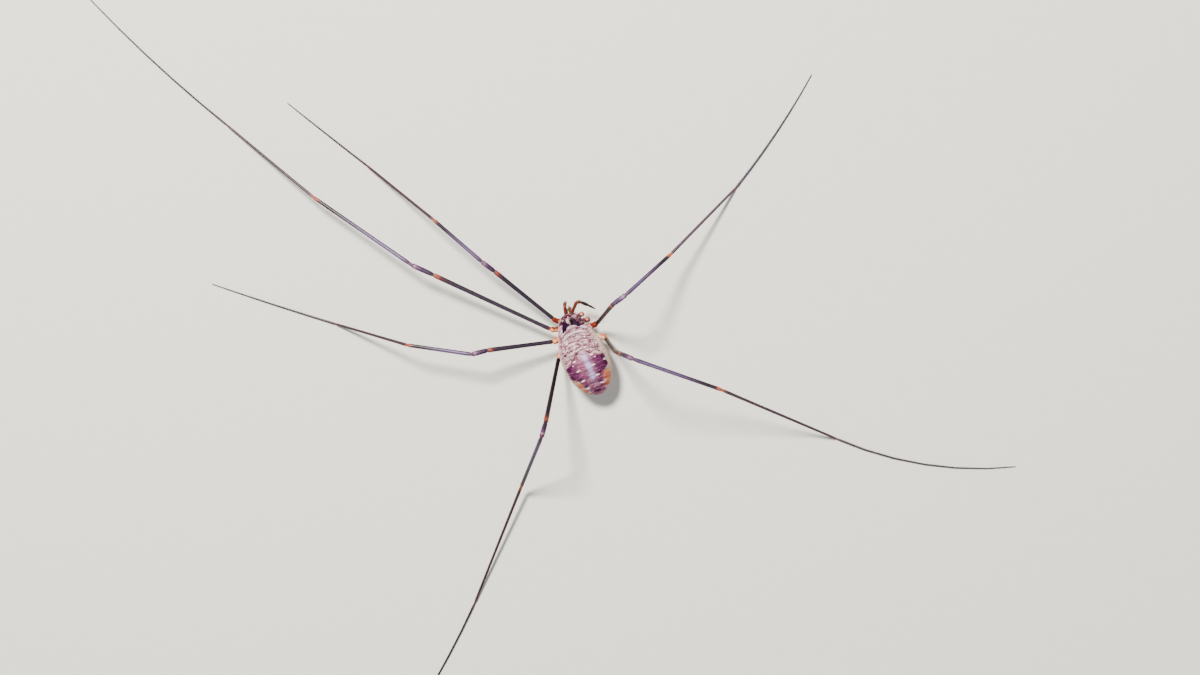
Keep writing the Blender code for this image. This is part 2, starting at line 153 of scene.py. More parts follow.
# %% Floor paper
FLOOR_SIZE = 1.6
paper = start_material("matt_paper", Roughness=0.85)
spot = add(paper, "ShaderNodeTexCoord", {}, {})
grain = add(paper, "ShaderNodeTexNoise", {}, {
    "Vector": spot.outputs["Object"], "Scale": 900.0, "Detail": 4.0, "Roughness": 0.6})
tone = add(paper, "ShaderNodeMix", {"data_type": "RGBA"}, {
    "Factor": grain.outputs["Fac"], MIX_A: colour("#dfe2dc"), MIX_B: colour("#e9ebe6")})
feed(paper, "Base Color", tone.outputs[MIX_OUT])
paper_bump = add(paper, "ShaderNodeBump", {}, {
    "Strength": 0.15, "Distance": 0.05 * MM, "Height": grain.outputs["Fac"]})
feed(paper, "Normal", paper_bump.outputs["Normal"])

bpy.ops.object.select_all(action="DESELECT")
bpy.ops.mesh.primitive_plane_add(size=FLOOR_SIZE)
floor = bpy.context.object
floor.name = "floor"
floor.data.materials.append(paper)
print("floor:", FLOOR_SIZE, "m")


# %% Lights
SHADOW_RIGHT, SHADOW_DOWN = 0.38, 0.92
KEY_ELEVATION = math.radians(56)
LIGHT_DISTANCE = 0.34
KEY_SIZE, KEY_POWER = 0.07, 3.2
FILL_SIZE, FILL_POWER = 0.30, 0.20
SKY_STRENGTH = 0.42

shadow_way = SHADOW_RIGHT * picture_right - SHADOW_DOWN * picture_up
shadow_way.z = 0.0
shadow_way.normalize()


def soft_lamp(name, way, size, power, tint):
    """A square lamp that looks at the body from a direction."""
    data = bpy.data.lights.new(name, "AREA")
    data.shape = "SQUARE"
    data.size = size
    data.energy = power
    data.color = colour(tint)[:3]
    lamp = bpy.data.objects.new(name, data)
    bpy.context.scene.collection.objects.link(lamp)
    lamp.location = BODY_ORIGIN + way.normalized() * LIGHT_DISTANCE
    lamp.rotation_euler = way.to_track_quat("Z", "Y").to_euler()


key_way = -shadow_way * math.cos(KEY_ELEVATION) + Vector((0, 0, math.sin(KEY_ELEVATION)))
fill_way = shadow_way * 0.8 + Vector((0.5, 0.2, 0.7))
soft_lamp("key_lamp", key_way, KEY_SIZE, KEY_POWER, "#fff6ea")
soft_lamp("fill_lamp", fill_way, FILL_SIZE, FILL_POWER, "#eef3ff")

sky = bpy.data.worlds.new("studio_sky")
sky.use_nodes = True
sky.node_tree.nodes["Background"].inputs["Color"].default_value = colour("#eef2f6")
sky.node_tree.nodes["Background"].inputs["Strength"].default_value = SKY_STRENGTH
bpy.context.scene.world = sky
print("lamps: key and fill, and a pale sky")


# %% [markdown]
# A harvestman's body is one piece: the front shield and the hind body meet in a broad waist with
# no stalk, and the plates of the back show only as shallow furrows. The form could be pulled up
# from a cube, but its width, top and underside are known at eleven places along it, so a sphere
# with fine rings is laid onto those sizes instead, in the same way as the solid was.

# %% Body form
STATIONS = {
    "y": (-1.80, -1.25, -0.57, 0.00, 0.70, 1.40, 2.65, 3.50, 4.20, 5.00, 5.93),
    "half_width": (0.80, 1.00, 1.32, 1.52, 1.82, 2.04, 2.14, 2.06, 1.86, 1.46, 0.90),
    "top": (2.45, 2.80, 3.00, 3.12, 3.35, 3.62, 3.85, 3.80, 3.55, 3.00, 2.35),
    "bottom": (1.70, 1.62, 1.60, 1.60, 1.56, 1.36, 0.85, 0.78, 0.85, 1.15, 1.70),
}
BODY_LENGTH = STATIONS["y"][-1] - STATIONS["y"][0]
FRONT_ROUNDING = 0.45
BACK_ROUNDING = 0.90
MIDDLE_HEIGHT = 0.45
SQUARENESS = 0.92
SKIN_DEPTH = 0.02
CARAPACE_FURROWS = ((-0.56, 0.42), (-0.08, 0.42))
ABDOMEN_FURROWS = tuple((y, -0.04) for y in (0.75, 1.45, 2.15, 2.85, 3.55, 4.20, 4.80, 5.30))
BELLY_FURROWS = tuple((y, 0.0) for y in (1.90, 2.60, 3.30, 4.00, 4.65, 5.20))
BACK_FURROW_DEPTH = 0.075
BELLY_FURROW_DEPTH = 0.045
FURROW_WIDTH = 0.10
EASE_REACH, EASE_SAMPLES = 0.35, 9


def smooth_station(y, name):
    """A body size at any y, from the stations, eased so that no ring shows as a crease."""
    offsets = np.linspace(-EASE_REACH, EASE_REACH, EASE_SAMPLES)
    weights = np.cos(offsets / EASE_REACH * math.pi / 2) + 0.05
    total = sum(w * np.interp(y + d, STATIONS["y"], STATIONS[name])
                for w, d in zip(weights, offsets))
    return total / weights.sum()


def furrows(x, y, rows, depth):
    """Depth of a set of furrows; each row has its place on the middle line and its sweep."""
    away = [(y - place - sweep * x * x) / FURROW_WIDTH for place, sweep in rows]
    return depth * sum(np.exp(-a * a) for a in away)


bpy.ops.object.select_all(action="DESELECT")
bpy.ops.mesh.primitive_uv_sphere_add(segments=144, ring_count=160, radius=1.0)
body = bpy.context.object
body.name = "body_form"
points = np.empty(len(body.data.vertices) * 3)
body.data.vertices.foreach_get("co", points)
points = points.reshape(-1, 3)
share = np.arccos(np.clip(points[:, 2], -1, 1)) / math.pi
y = STATIONS["y"][0] + BODY_LENGTH * share
around = np.arctan2(points[:, 1], points[:, 0])
front = np.clip((y - STATIONS["y"][0]) / FRONT_ROUNDING, 0, 1)
back = np.clip((STATIONS["y"][-1] - y) / BACK_ROUNDING, 0, 1)
scale = np.sqrt(1 - (1 - front) ** 2) * np.sqrt(1 - (1 - back) ** 2)
top = smooth_station(y, "top") - SKIN_DEPTH
bottom = smooth_station(y, "bottom") + SKIN_DEPTH
middle = bottom + MIDDLE_HEIGHT * (top - bottom)
cosine, sine = np.cos(around), np.sin(around)
x = ((smooth_station(y, "half_width") - SKIN_DEPTH) * scale
     * np.sign(cosine) * np.abs(cosine) ** SQUARENESS)
reach = np.where(sine > 0, top - middle, middle - bottom)
z = middle + reach * scale * np.sign(sine) * np.abs(sine) ** SQUARENESS
up, down = np.clip(sine, 0, 1) * scale, np.clip(-sine, 0, 1) * scale
z -= furrows(x, y, CARAPACE_FURROWS + ABDOMEN_FURROWS, BACK_FURROW_DEPTH) * up
z += furrows(x, y, BELLY_FURROWS, BELLY_FURROW_DEPTH) * down
body.data.vertices.foreach_set("co", (np.stack([x, y, z], 1) * MM + ORIGIN).ravel())
body.data.update()
print("body form:", len(body.data.polygons), "faces")


# %% [markdown]
# Each leg starts in a coxa, a stout stalk fixed under the body, and a rounder trochanter that
# shows beside it. A tube with its own radius at every point gives both, with the groove between
# them. A curve with a round bevel does that in one go, and becomes a mesh when it is converted.

# %% Tubes along a path
TUBE_SIDES = 12
PATH_STEP = 0.03
MERGE_DISTANCE = 1e-7


def set_field(piece, name, values):
    """Store one number for each point of a mesh."""
    field = piece.data.attributes.get(name)
    if field is None:
        field = piece.data.attributes.new(name, "FLOAT", "POINT")
    field.data.foreach_set("value", np.asarray(values, np.float32))


def tube(name, path, radii, places=(0.0, 0.0)):
    """A closed round tube along a world path in millimetres, with its place kept on the mesh."""
    bpy.ops.object.select_all(action="DESELECT")
    bpy.ops.curve.primitive_bezier_curve_add()
    curve = bpy.context.object
    curve.name = name
    data = curve.data
    data.splines.clear()
    spline = data.splines.new("POLY")
    spline.points.add(len(path) - 1)
    weighted = np.column_stack([np.array(path) * MM, np.ones(len(path))])
    spline.points.foreach_set("co", weighted.ravel())
    spline.points.foreach_set("radius", np.array(radii, float))
    data.dimensions = "3D"
    data.bevel_depth = MM
    data.bevel_resolution = (TUBE_SIDES - 4) // 2
    data.use_fill_caps = True
    bpy.ops.object.convert(target="MESH")
    piece = bpy.context.object
    numbers = np.interp(np.linspace(0, 1, len(path)), np.linspace(0, 1, len(places)), places)
    set_field(piece, "place", np.concatenate([
        np.repeat(numbers, TUBE_SIDES), np.repeat(numbers[[0, -1]], TUBE_SIDES)]))
    bpy.ops.object.mode_set(mode="EDIT")
    bpy.ops.mesh.select_all(action="SELECT")
    bpy.ops.mesh.remove_doubles(threshold=MERGE_DISTANCE)
    bpy.ops.mesh.normals_make_consistent(inside=False)
    bpy.ops.object.mode_set(mode="OBJECT")
    bpy.ops.object.shade_smooth()
    return piece


def resample(path, step):
    """The path with even steps, with the distance from its start at each point."""
    path = np.array(path, float)
    lengths = np.linalg.norm(np.diff(path, axis=0), axis=1)
    along = np.concatenate([[0], np.cumsum(lengths)])
    places = np.linspace(0, along[-1], max(int(along[-1] / step), 2) + 1)
    return np.stack([np.interp(places, along, path[:, i]) for i in range(3)], 1), places


def soften(path, rounds):
    """The path with its bends eased; its two ends stay."""
    path = path.copy()
    for _ in range(rounds):
        path[1:-1] = (path[:-2] + 2 * path[1:-1] + path[2:]) / 4
    return path


# %% Coxae and trochanters
COXAE = {
    1: {"root": (0.42, -1.22, 1.36), "bulb": (1.17, -1.56, 1.75), "heading": 27},
    2: {"root": (0.50, -0.70, 1.34), "bulb": (1.63, -0.91, 1.75), "heading": 55},
    3: {"root": (0.55, -0.06, 1.32), "bulb": (1.81, 0.06, 1.75), "heading": 80},
    4: {"root": (0.64, 0.64, 1.30), "bulb": (2.06, 1.30, 1.52), "heading": 138},
}
BULB_PITCH = math.radians(12)
BULB_AHEAD = 0.40
COXA_EASING = 12
STUMP_AHEAD = 0.20
COXA_SHARES = (0.0, 0.30, 0.55, 0.66, 0.72, 0.80, 0.90, 0.97, 1.0)
COXA_RADII = (0.20, 0.24, 0.29, 0.27, 0.22, 0.275, 0.28, 0.22, 0.13)
STUMPS = {
    "r1": {"root": (0.42, -1.22, 1.36), "bulb": (1.20, -1.24, 1.75), "heading": 62},
    "r2": {"root": (0.50, -0.70, 1.34), "bulb": (1.51, -0.62, 1.75), "heading": 74},
}
COXA_FIT = (0.88, 0.92, 1.0, 1.0)
ALL_LEGS = ("l1", "l2", "l3", "l4", "r1", "r2", "r3", "r4")


def side_of(leg):
    """1 for the animal's left, -1 for its right."""
    return 1 if leg[0] == "l" else -1


def heading_way(heading, pitch, side):
    """Unit vector at a heading from straight ahead towards a side, and a pitch in radians."""
    turn = math.radians(heading)
    return Vector((side * math.sin(turn) * math.cos(pitch), -math.cos(turn) * math.cos(pitch),
                   math.sin(pitch)))


def trochanter_end(leg):
    """Centre of a leg's trochanter, and where the femur leaves it, in the body's frame."""
    sizes = STUMPS.get(leg, COXAE[int(leg[1])])
    side = side_of(leg)
    bulb = Vector((side * sizes["bulb"][0], *sizes["bulb"][1:]))
    ahead = STUMP_AHEAD if leg in STUMPS else BULB_AHEAD
    return bulb, bulb + ahead * heading_way(sizes["heading"], BULB_PITCH, side)


coxae = []
for leg in ALL_LEGS:
    root = Vector(COXAE[int(leg[1])]["root"])
    root.x *= side_of(leg)
    bulb, end = trochanter_end(leg)
    path, along = resample([root, root.lerp(bulb, 0.7), bulb, end], PATH_STEP)
    radii = np.interp(along / along[-1], COXA_SHARES, COXA_RADII) * COXA_FIT[int(leg[1]) - 1]
    coxae.append(tube(f"coxa_form_{leg}", soften(path, COXA_EASING) + ORIGIN / MM, radii))
print("coxae:", len(coxae))


# %% [markdown]
# The eye mound is a steep knob near the front edge, with a low rim round each eye, and the
# genital plate a long low swelling between the coxae. They start as spheres at their own sizes.
# All of these forms are then joined and remeshed in small voxels, which fuses them, and
# smoothed, which leaves a soft fold where each coxa leaves the body. That gives one skin with no
# seam.

# %% One skin from the forms
SKIN_VOXEL = 0.042 * MM
MOUND_HALF_SIZE = (0.24, 0.29, 0.39)
PLATE_CENTRE = (0.0, 0.30, 1.42)
PLATE_HALF_SIZE = (0.24, 0.95, 0.24)
ORBIT_OFFSET = (0.11, -0.05, 0.16)
ORBIT_HALF_SIZE = (0.11, 0.185, 0.185)


def ball(name, centre, half_size, segments=48, rings=32):
    """A sphere primitive at its place, scaled to its half sizes in millimetres."""
    bpy.ops.object.select_all(action="DESELECT")
    bpy.ops.mesh.primitive_uv_sphere_add(
        segments=segments, ring_count=rings, radius=MM,
        location=BODY_ORIGIN + Vector(centre) * MM, scale=half_size)
    bpy.ops.object.transform_apply(location=True, rotation=True, scale=True)
    bpy.ops.object.shade_smooth()
    bpy.context.object.name = name
    return bpy.context.object


mound = ball("mound_form", MOUND_CENTRE, MOUND_HALF_SIZE)
plate = ball("plate_form", PLATE_CENTRE, PLATE_HALF_SIZE)
orbits = [ball("orbit_form", Vector(MOUND_CENTRE) + Vector((side * ORBIT_OFFSET[0],
                                                            *ORBIT_OFFSET[1:])), ORBIT_HALF_SIZE)
          for side in (-1, 1)]
only(body, mound, plate, *orbits, *coxae)
bpy.ops.object.join()
skin = bpy.context.object
skin.name = "skin"
bpy.ops.object.transform_apply(location=True, rotation=True, scale=True)
remesh = skin.modifiers.new("fuse", "REMESH")
remesh.mode = "VOXEL"
remesh.voxel_size = SKIN_VOXEL
bpy.ops.object.modifier_apply(modifier="fuse")
ease = skin.modifiers.new("ease", "SMOOTH")
ease.factor = 0.5
ease.iterations = 6
bpy.ops.object.modifier_apply(modifier="ease")
bpy.ops.object.shade_smooth()
print("skin:", len(skin.data.polygons), "faces")


# %% [markdown]
# The markings are laid on the skin as plain number fields, one for each pigment: how much violet
# saddle, dark blotch, cream and so on there is at each point. Two fields are painted light
# instead: a lavender highlight of the sky down the middle of the back and a pale highlight on top
# of the coxae; the white spots are partly real marks and partly painted glints. Each field comes
# from a few soft ovals and bands with sizes in millimetres. The material then gives every field a
# ragged edge with noise, which a painted image could do too, but only at one size.

# %% Fields of pigment
def ramp(low, high, value):
    """0 below low, 1 above high, eased between."""
    t = np.clip((value - low) / (high - low), 0, 1)
    return t * t * (3 - 2 * t)


def ovals(px, py, shapes):
    """Strength of a set of soft ovals: centre x, y, half sizes x, y, and a turn in degrees."""
    total = np.zeros_like(px)
    for cx, cy, half_x, half_y, turn in shapes:
        c, s = math.cos(math.radians(turn)), math.sin(math.radians(turn))
        u = ((px - cx) * c + (py - cy) * s) / half_x
        v = (-(px - cx) * s + (py - cy) * c) / half_y
        total = np.maximum(total, 1 - ramp(0.45, 1.35, np.sqrt(u * u + v * v)))
    return total


SADDLE_Y = (1.90, 2.30, 2.80, 3.20, 3.75, 4.05, 4.60, 5.20, 5.90)
SADDLE_HALF_WIDTH = (0.0, 1.15, 1.72, 1.80, 1.78, 1.15, 0.95, 0.78, 0.55)
# White dashes on the back: partly real white marks and partly painted glints of light on the
# ridges.
WHITE_MARKS_AND_GLINTS = (
    (0.70, 2.40, 0.25, 0.072, 6), (-0.95, 2.36, 0.20, 0.075, -8), (0.68, 3.30, 0.25, 0.072, 6),
    (-0.76, 3.25, 0.23, 0.072, -8), (-1.78, 3.15, 0.10, 0.07, 0), (0.70, 4.26, 0.26, 0.080, 8),
    (-0.70, 4.20, 0.26, 0.072, -8), (0.64, 5.04, 0.22, 0.076, 10), (-0.74, 5.00, 0.22, 0.076, -10),
    (-1.15, 2.65, 0.11, 0.05, 0), (0.95, 2.72, 0.13, 0.05, 6), (0.80, 0.70, 0.10, 0.08, 0),
    (-0.90, 0.68, 0.10, 0.08, 0),
)
DARK_BLOTCHES = (
    (1.55, 2.92, 0.30, 0.24, 0), (1.50, 3.72, 0.22, 0.30, 20), (-1.75, 2.85, 0.22, 0.26, 0),
    (-1.74, 3.48, 0.16, 0.30, 0), (-1.42, 3.82, 0.24, 0.12, -15), (0.75, 4.80, 0.30, 0.09, 10),
    (-0.70, 4.82, 0.26, 0.08, -12), (0.95, 4.02, 0.40, 0.07, 10), (-0.95, 4.02, 0.36, 0.06, -10),
    (0.0, 5.50, 0.40, 0.16, 0),
)
HEAD_VIOLET = (
    (0.36, -0.94, 0.31, 0.38, 0), (0.56, -0.60, 0.27, 0.27, 30), (0.20, -1.18, 0.15, 0.26, 0),
    (0.13, -0.80, 0.20, 0.14, 0), (0.72, -0.42, 0.18, 0.12, 30), (-0.50, -0.88, 0.33, 0.34, 0),
    (-0.78, -0.55, 0.30, 0.23, -35), (-0.36, -1.10, 0.17, 0.24, 0), (-0.28, -0.77, 0.20, 0.14, 0),
    (-0.98, -0.42, 0.16, 0.12, -30),
)
WINE_FRONT = ((-0.10, -1.58, 0.85, 0.24, 0), (-0.95, -0.95, 0.38, 0.52, -15),
              (0.66, -1.24, 0.20, 0.22, 0), (-1.20, -0.60, 0.20, 0.34, -20))
BROWN_DOTS = (
    (1.12, 0.82, 0.16, 0.11, 0), (1.00, 1.42, 0.18, 0.10, 15), (0.85, 1.75, 0.14, 0.08, 0),
    (1.45, 1.35, 0.10, 0.10, 0), (-1.00, 0.85, 0.16, 0.08, -10), (-1.35, 0.75, 0.13, 0.12, 0),
    (-1.30, 1.15, 0.18, 0.10, -15), (-1.05, 1.55, 0.14, 0.08, 0), (-1.50, 1.60, 0.12, 0.10, 0),
    (1.20, 0.20, 0.14, 0.10, 0), (-1.30, 0.10, 0.14, 0.12, 0), (0.40, 1.05, 0.08, 0.05, 0),
    (-0.55, 1.05, 0.08, 0.05, 0), (0.95, 2.05, 0.16, 0.06, 8), (-1.25, 2.05, 0.16, 0.06, -8),
    (0.42, -0.24, 0.15, 0.06, 15), (-0.55, -0.22, 0.16, 0.06, -15), (0.90, 0.02, 0.13, 0.07, 25),
    (-1.02, 0.02, 0.14, 0.07, -25), (-0.05, -0.34, 0.16, 0.05, 0), (0.55, 0.42, 0.12, 0.06, 0),
    (-0.70, 0.40, 0.12, 0.06, 0), (1.55, 2.30, 0.12, 0.10, 0), (-1.62, 2.30, 0.12, 0.10, 0),
    (1.62, 1.80, 0.10, 0.14, 0), (-1.72, 1.75, 0.10, 0.14, 0), (1.40, 0.80, 0.08, 0.14, 0),
)
ROW_STRETCH = 2.7
PALE_ARCS = ((-0.62, 0.40, 0.10), (-0.02, 0.30, 0.085))
PURPLE_ARCS = ((-0.38, 0.40, 0.06), (0.13, 0.26, 0.05))


def arcs(px, py, shapes):
    """Strength of bands that cross the back in an arc: place, sweep and half width."""
    total = np.zeros_like(px)
    for place, sweep, half in shapes:
        away = np.abs(py - place - sweep * (px + 0.10) ** 2) / half
        total = np.maximum(total, 1 - ramp(0.4, 1.6, away))
    return total


count = len(skin.data.vertices)
points = np.empty(count * 3)
skin.data.vertices.foreach_get("co", points)
px, py, _ = ((points.reshape(-1, 3) - ORIGIN) / MM).T
normals = np.empty(count * 3)
skin.data.vertices.foreach_get("normal", normals)
up_facing = normals.reshape(-1, 3)[:, 2]
half_width = np.interp(py, STATIONS["y"], STATIONS["half_width"])
ahead_share = np.clip((py - STATIONS["y"][0]) / FRONT_ROUNDING, 0, 1)
outline_x = half_width * np.sqrt(np.maximum(1 - (1 - ahead_share) ** 2, 0.01))
on_body = ramp(0.12, 0.0, np.abs(px) - outline_x)
upper = ramp(-0.15, 0.25, up_facing) * on_body

across = np.abs(px + 0.05)
saddle_edge = np.interp(py, SADDLE_Y, SADDLE_HALF_WIDTH) - across
saddle = (ramp(-0.25, 0.25, saddle_edge) * ramp(1.9, 2.5, py) * upper
          * (0.74 + 0.26 * ramp(0.2, 1.2, across)))
saddle_depth = saddle * (0.35 + 0.65 * ramp(0.25, 1.45, across)) * ramp(2.1, 2.9, py)
side_cream = ramp(0.74, 0.96, np.abs(px) / half_width) * ramp(-0.4, 0.6, py)
rear_cream = ramp(-0.05, 0.35, -saddle_edge) * ramp(3.8, 4.2, py)
salmon = ovals(px, py, ((-1.30, 4.55, 0.52, 0.50, 30), (1.15, 4.60, 0.34, 0.34, -25),
                        (-1.0, 5.20, 0.40, 0.32, 20), (1.0, 5.15, 0.30, 0.28, -20)))
# Painted highlight: a lavender band down the middle of the back, brightest at two places along it,
# stands for the sky's reflection on the glossy saddle.
painted_highlight_middle = np.interp(py, (1.5, 3.3, 5.0), (-0.20, -0.40, -0.18))
painted_sky_highlight = (np.exp(-((px - painted_highlight_middle) / 0.32) ** 2) * ramp(1.2, 2.6, py) * ramp(5.3, 3.9, py)
         * (0.72 + 0.28 * np.cos((py - 3.25) / 0.88 * 2 * math.pi)))
tergite_lines = sum(np.exp(-((py - place - sweep * px ** 2) / 0.055) ** 2)
                    for place, sweep in ABDOMEN_FURROWS)
limb = 1 - on_body
away_from = {leg: np.hypot(px - trochanter_end(leg)[0].x, py - trochanter_end(leg)[0].y)
             for leg in ALL_LEGS}
rusty = sum(ramp(0.95, 0.55, away_from[leg]) for leg in ("l1", "r3"))
stumpy = sum(ramp(0.55, 0.35, away_from[leg]) for leg in STUMPS)

crest_width = np.interp(py, (-1.55, -1.30, -1.05, -0.85, -0.62), (0.02, 0.10, 0.19, 0.15, 0.02))

FIELDS = {
    "cream": np.maximum(side_cream * 0.78, 1 - ramp(-0.35, 0.05, up_facing)) * on_body,
    "rear_cream": rear_cream * upper,
    "salmon": salmon * upper * 0.70,
    "saddle": saddle,
    "saddle_depth": saddle_depth,
    "limb": limb,
    "rust": np.clip(rusty, 0, 1) * limb,
    "stump": np.clip(stumpy, 0, 1) * limb,
    # Painted highlight on the upper side of each coxa and trochanter.
    "limb_painted_highlight": ramp(0.60, 1.05, up_facing) * limb * (1 - 0.8 * np.clip(rusty, 0, 1)),
    "tergite_line": tergite_lines * upper * ramp(1.95, 1.60, across),
    "painted_sky_highlight": painted_sky_highlight * upper,
    "wine": ovals(px, py, WINE_FRONT) * upper * 0.86,
    "pale_arc": arcs(px, py, PALE_ARCS) * ramp(1.35, 0.95, np.abs(px + 0.1)) * upper,
    "purple_arc": arcs(px, py, PURPLE_ARCS) * ramp(1.25, 0.85, np.abs(px + 0.1)) * upper,
    "violet": ovals(px, py, HEAD_VIOLET) * upper * 0.88,
    "blotch": ovals(px, py, DARK_BLOTCHES) * upper * 0.80,
    "dot": ovals(px, py, BROWN_DOTS) * upper * 0.70,
    # White spots: partly real marks and partly painted glints.
    "spot": ovals(px, py, WHITE_MARKS_AND_GLINTS) * upper * 0.86,
    "mound": ramp(1.0, 0.4, np.abs(px - MOUND_CENTRE[0]) / crest_width) * upper,
}
row_sweep = np.interp(py, (-0.6, 0.0, 1.0, 2.2, 3.5), (0.40, 0.30, 0.20, 0.08, 0.0))
FIELDS["row_y"] = (py - row_sweep * px ** 2) * ROW_STRETCH
for name, values in FIELDS.items():
    set_field(skin, name, values)
print("fields on the skin:", len(skin.data.attributes))


# %% [markdown]
# The skin is living cuticle: waxy and a little glossy, grained with fine granules in rows, over
# pigment in soft patches. It is a dielectric, so IOR stays near 1.5, with a roughness near 0.5
# and a low specular level, because granules and dust scatter the gloss. The pigments are mixed
# one over the other in the order in which they lie, the white spots last. Among them lie a
# painted highlight of the sky down the back and a painted highlight on the coxae, and the white
# spots are partly painted glints.

# %% Skin cuticle
cuticle = start_material("mottled_cuticle", Roughness=0.48, IOR=1.5, Specular_IOR_Level=0.06)
spot = add(cuticle, "ShaderNodeTexCoord", {}, {})
in_mm = add(cuticle, "ShaderNodeMapping", {}, {
    "Vector": spot.outputs["Object"], "Scale": (1 / MM,) * 3,
    "Location": tuple(-BODY_ORIGIN / MM)})
ragged = add(cuticle, "ShaderNodeTexNoise", {}, {
    "Vector": in_mm.outputs["Vector"], "Scale": 4.5, "Detail": 5.0, "Roughness": 0.65})
parts = add(cuticle, "ShaderNodeSeparateXYZ", {}, {"Vector": in_mm.outputs["Vector"]})
row_y = add(cuticle, "ShaderNodeAttribute", {"attribute_name": "row_y"}, {})
rows = add(cuticle, "ShaderNodeCombineXYZ", {}, {
    "X": parts.outputs["X"], "Y": row_y.outputs["Fac"], "Z": parts.outputs["Z"]})
mottle = add(cuticle, "ShaderNodeTexNoise", {}, {
    "Vector": rows.outputs["Vector"], "Scale": 2.0, "Detail": 6.0, "Roughness": 0.70})
base = add(cuticle, "ShaderNodeValToRGB", {}, {"Fac": mottle.outputs["Fac"]})
base.color_ramp.elements[0].position = 0.40
base.color_ramp.elements[0].color = colour("#3c1628")
base.color_ramp.elements[1].position = 0.61
base.color_ramp.elements[1].color = colour("#e6c4ca")
middle_stop = base.color_ramp.elements.new(0.50)
middle_stop.color = colour("#9a6a78")

ROW_SPACING = 0.33
bands = add(cuticle, "ShaderNodeTexWave", {"bands_direction": "Y"}, {
    "Vector": rows.outputs["Vector"], "Scale": 0.314 / ROW_SPACING / ROW_STRETCH,
    "Distortion": 1.6, "Detail": 3.0, "Detail Scale": 3.0, "Detail Roughness": 0.7})
beads = add(cuticle, "ShaderNodeTexVoronoi", {}, {
    "Vector": in_mm.outputs["Vector"], "Scale": 5.5, "Randomness": 0.9})
bead = add(cuticle, "ShaderNodeMapRange", {"interpolation_type": "SMOOTHSTEP"}, {
    "Value": beads.outputs["Distance"], "From Min": 0.50, "From Max": 0.15})
row = add(cuticle, "ShaderNodeMath", {"operation": "MULTIPLY"}, {
    0: bands.outputs["Fac"], 1: bead.outputs["Result"]})
beaded = add(cuticle, "ShaderNodeMix", {"data_type": "RGBA"}, {
    "Factor": row.outputs["Value"], MIX_A: base.outputs["Color"], MIX_B: colour("#ead2d6")})

# Field, colour, strength, raggedness of its edge, and half width of its soft edge
PIGMENTS = (
    ("cream", "#eed2b8", 0.60, 1.5, 0.42), ("rear_cream", "#d8a468", 0.74, 1.1, 0.30),
    ("salmon", "#cc4632", 0.74, 1.6, 0.34), ("saddle", "#843866", 0.78, 0.8, 0.38),
    ("saddle_depth", "#480c40", 0.74, 0.8, 0.38), ("tergite_line", "#3c1638", 0.42, 1.2, 0.45),
    ("limb", "#d45e12", 1.0, 0.1, 0.30), ("rust", "#5a1018", 0.86, 0.5, 0.35),
    # The pale tops of the coxae are a painted highlight.
    ("stump", "#8f4a58", 0.85, 0.8, 0.35), ("limb_painted_highlight", "#ffcca4", 0.62, 0.9, 0.28),
    # The lavender band down the back is a painted highlight of the sky.
    ("painted_sky_highlight", "#d2c4fa", 0.80, 0.7, 0.50), ("wine", "#3a0822", 0.94, 1.3, 0.20),
    ("pale_arc", "#e4d2e0", 0.52, 1.0, 0.34), ("purple_arc", "#4e2060", 0.66, 1.0, 0.30),
    ("violet", "#1e0022", 1.0, 1.0, 0.16), ("blotch", "#360432", 0.90, 1.2, 0.24),
    # The white spots are partly real marks and partly painted glints.
    ("dot", "#4a1c2e", 0.80, 1.8, 0.28), ("spot", "#fff2e6", 0.92, 0.70, 0.22),
    ("mound", "#e4aebe", 0.90, 0.8, 0.25),
)
layer = beaded.outputs[MIX_OUT]
for field, code, strength, raggedness, softness in PIGMENTS:
    amount = add(cuticle, "ShaderNodeAttribute", {"attribute_name": field}, {})
    push = add(cuticle, "ShaderNodeMath", {"operation": "MULTIPLY_ADD"}, {
        0: ragged.outputs["Fac"], 1: raggedness, 2: -raggedness / 2})
    torn = add(cuticle, "ShaderNodeMath", {"operation": "ADD"}, {
        0: amount.outputs["Fac"], 1: push.outputs["Value"]})
    gate = add(cuticle, "ShaderNodeMapRange", {"interpolation_type": "SMOOTHSTEP"}, {
        "Value": torn.outputs["Value"], "From Min": 0.5 - softness, "From Max": 0.5 + softness,
        "To Max": strength})
    mixed = add(cuticle, "ShaderNodeMix", {"data_type": "RGBA"}, {
        "Factor": gate.outputs["Result"], MIX_A: layer, MIX_B: colour(code)})
    layer = mixed.outputs[MIX_OUT]
fine = add(cuticle, "ShaderNodeTexVoronoi", {}, {
    "Vector": in_mm.outputs["Vector"], "Scale": 9.0, "Randomness": 0.8})
speck = add(cuticle, "ShaderNodeMapRange", {}, {
    "Value": fine.outputs["Distance"], "From Min": 0.1, "From Max": 0.5,
    "To Min": 1.12, "To Max": 0.86})
tinted = add(cuticle, "ShaderNodeMix", {"data_type": "RGBA", "blend_type": "MULTIPLY"}, {
    "Factor": 1.0, MIX_A: layer, MIX_B: speck.outputs["Result"]})
feed(cuticle, "Base Color", tinted.outputs[MIX_OUT])
granules = add(cuticle, "ShaderNodeBump", {"invert": True}, {
    "Strength": 0.55, "Distance": 0.03 * MM, "Height": fine.outputs["Distance"]})
grain = add(cuticle, "ShaderNodeBump", {}, {
    "Strength": 0.35, "Distance": 0.04 * MM, "Height": mottle.outputs["Fac"],
    "Normal": granules.outputs["Normal"]})
feed(cuticle, "Normal", grain.outputs["Normal"])
skin.data.materials.clear()
skin.data.materials.append(cuticle)

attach(skin, "root")
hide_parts("prosoma", "opisthosoma", "ocularium", "genital_plate",
            *(f"coxa_{leg}" for leg in ALL_LEGS))
print("pigments:", len(PIGMENTS))


# %% [markdown]
# The eyes are two glossy black domes, one on each side of the mound. Each is a single lens with
# a clear waxy surface, so it is a smooth ball with a low roughness, set a little deeper than its
# radius in the mound, with a pale rim of skin round it.

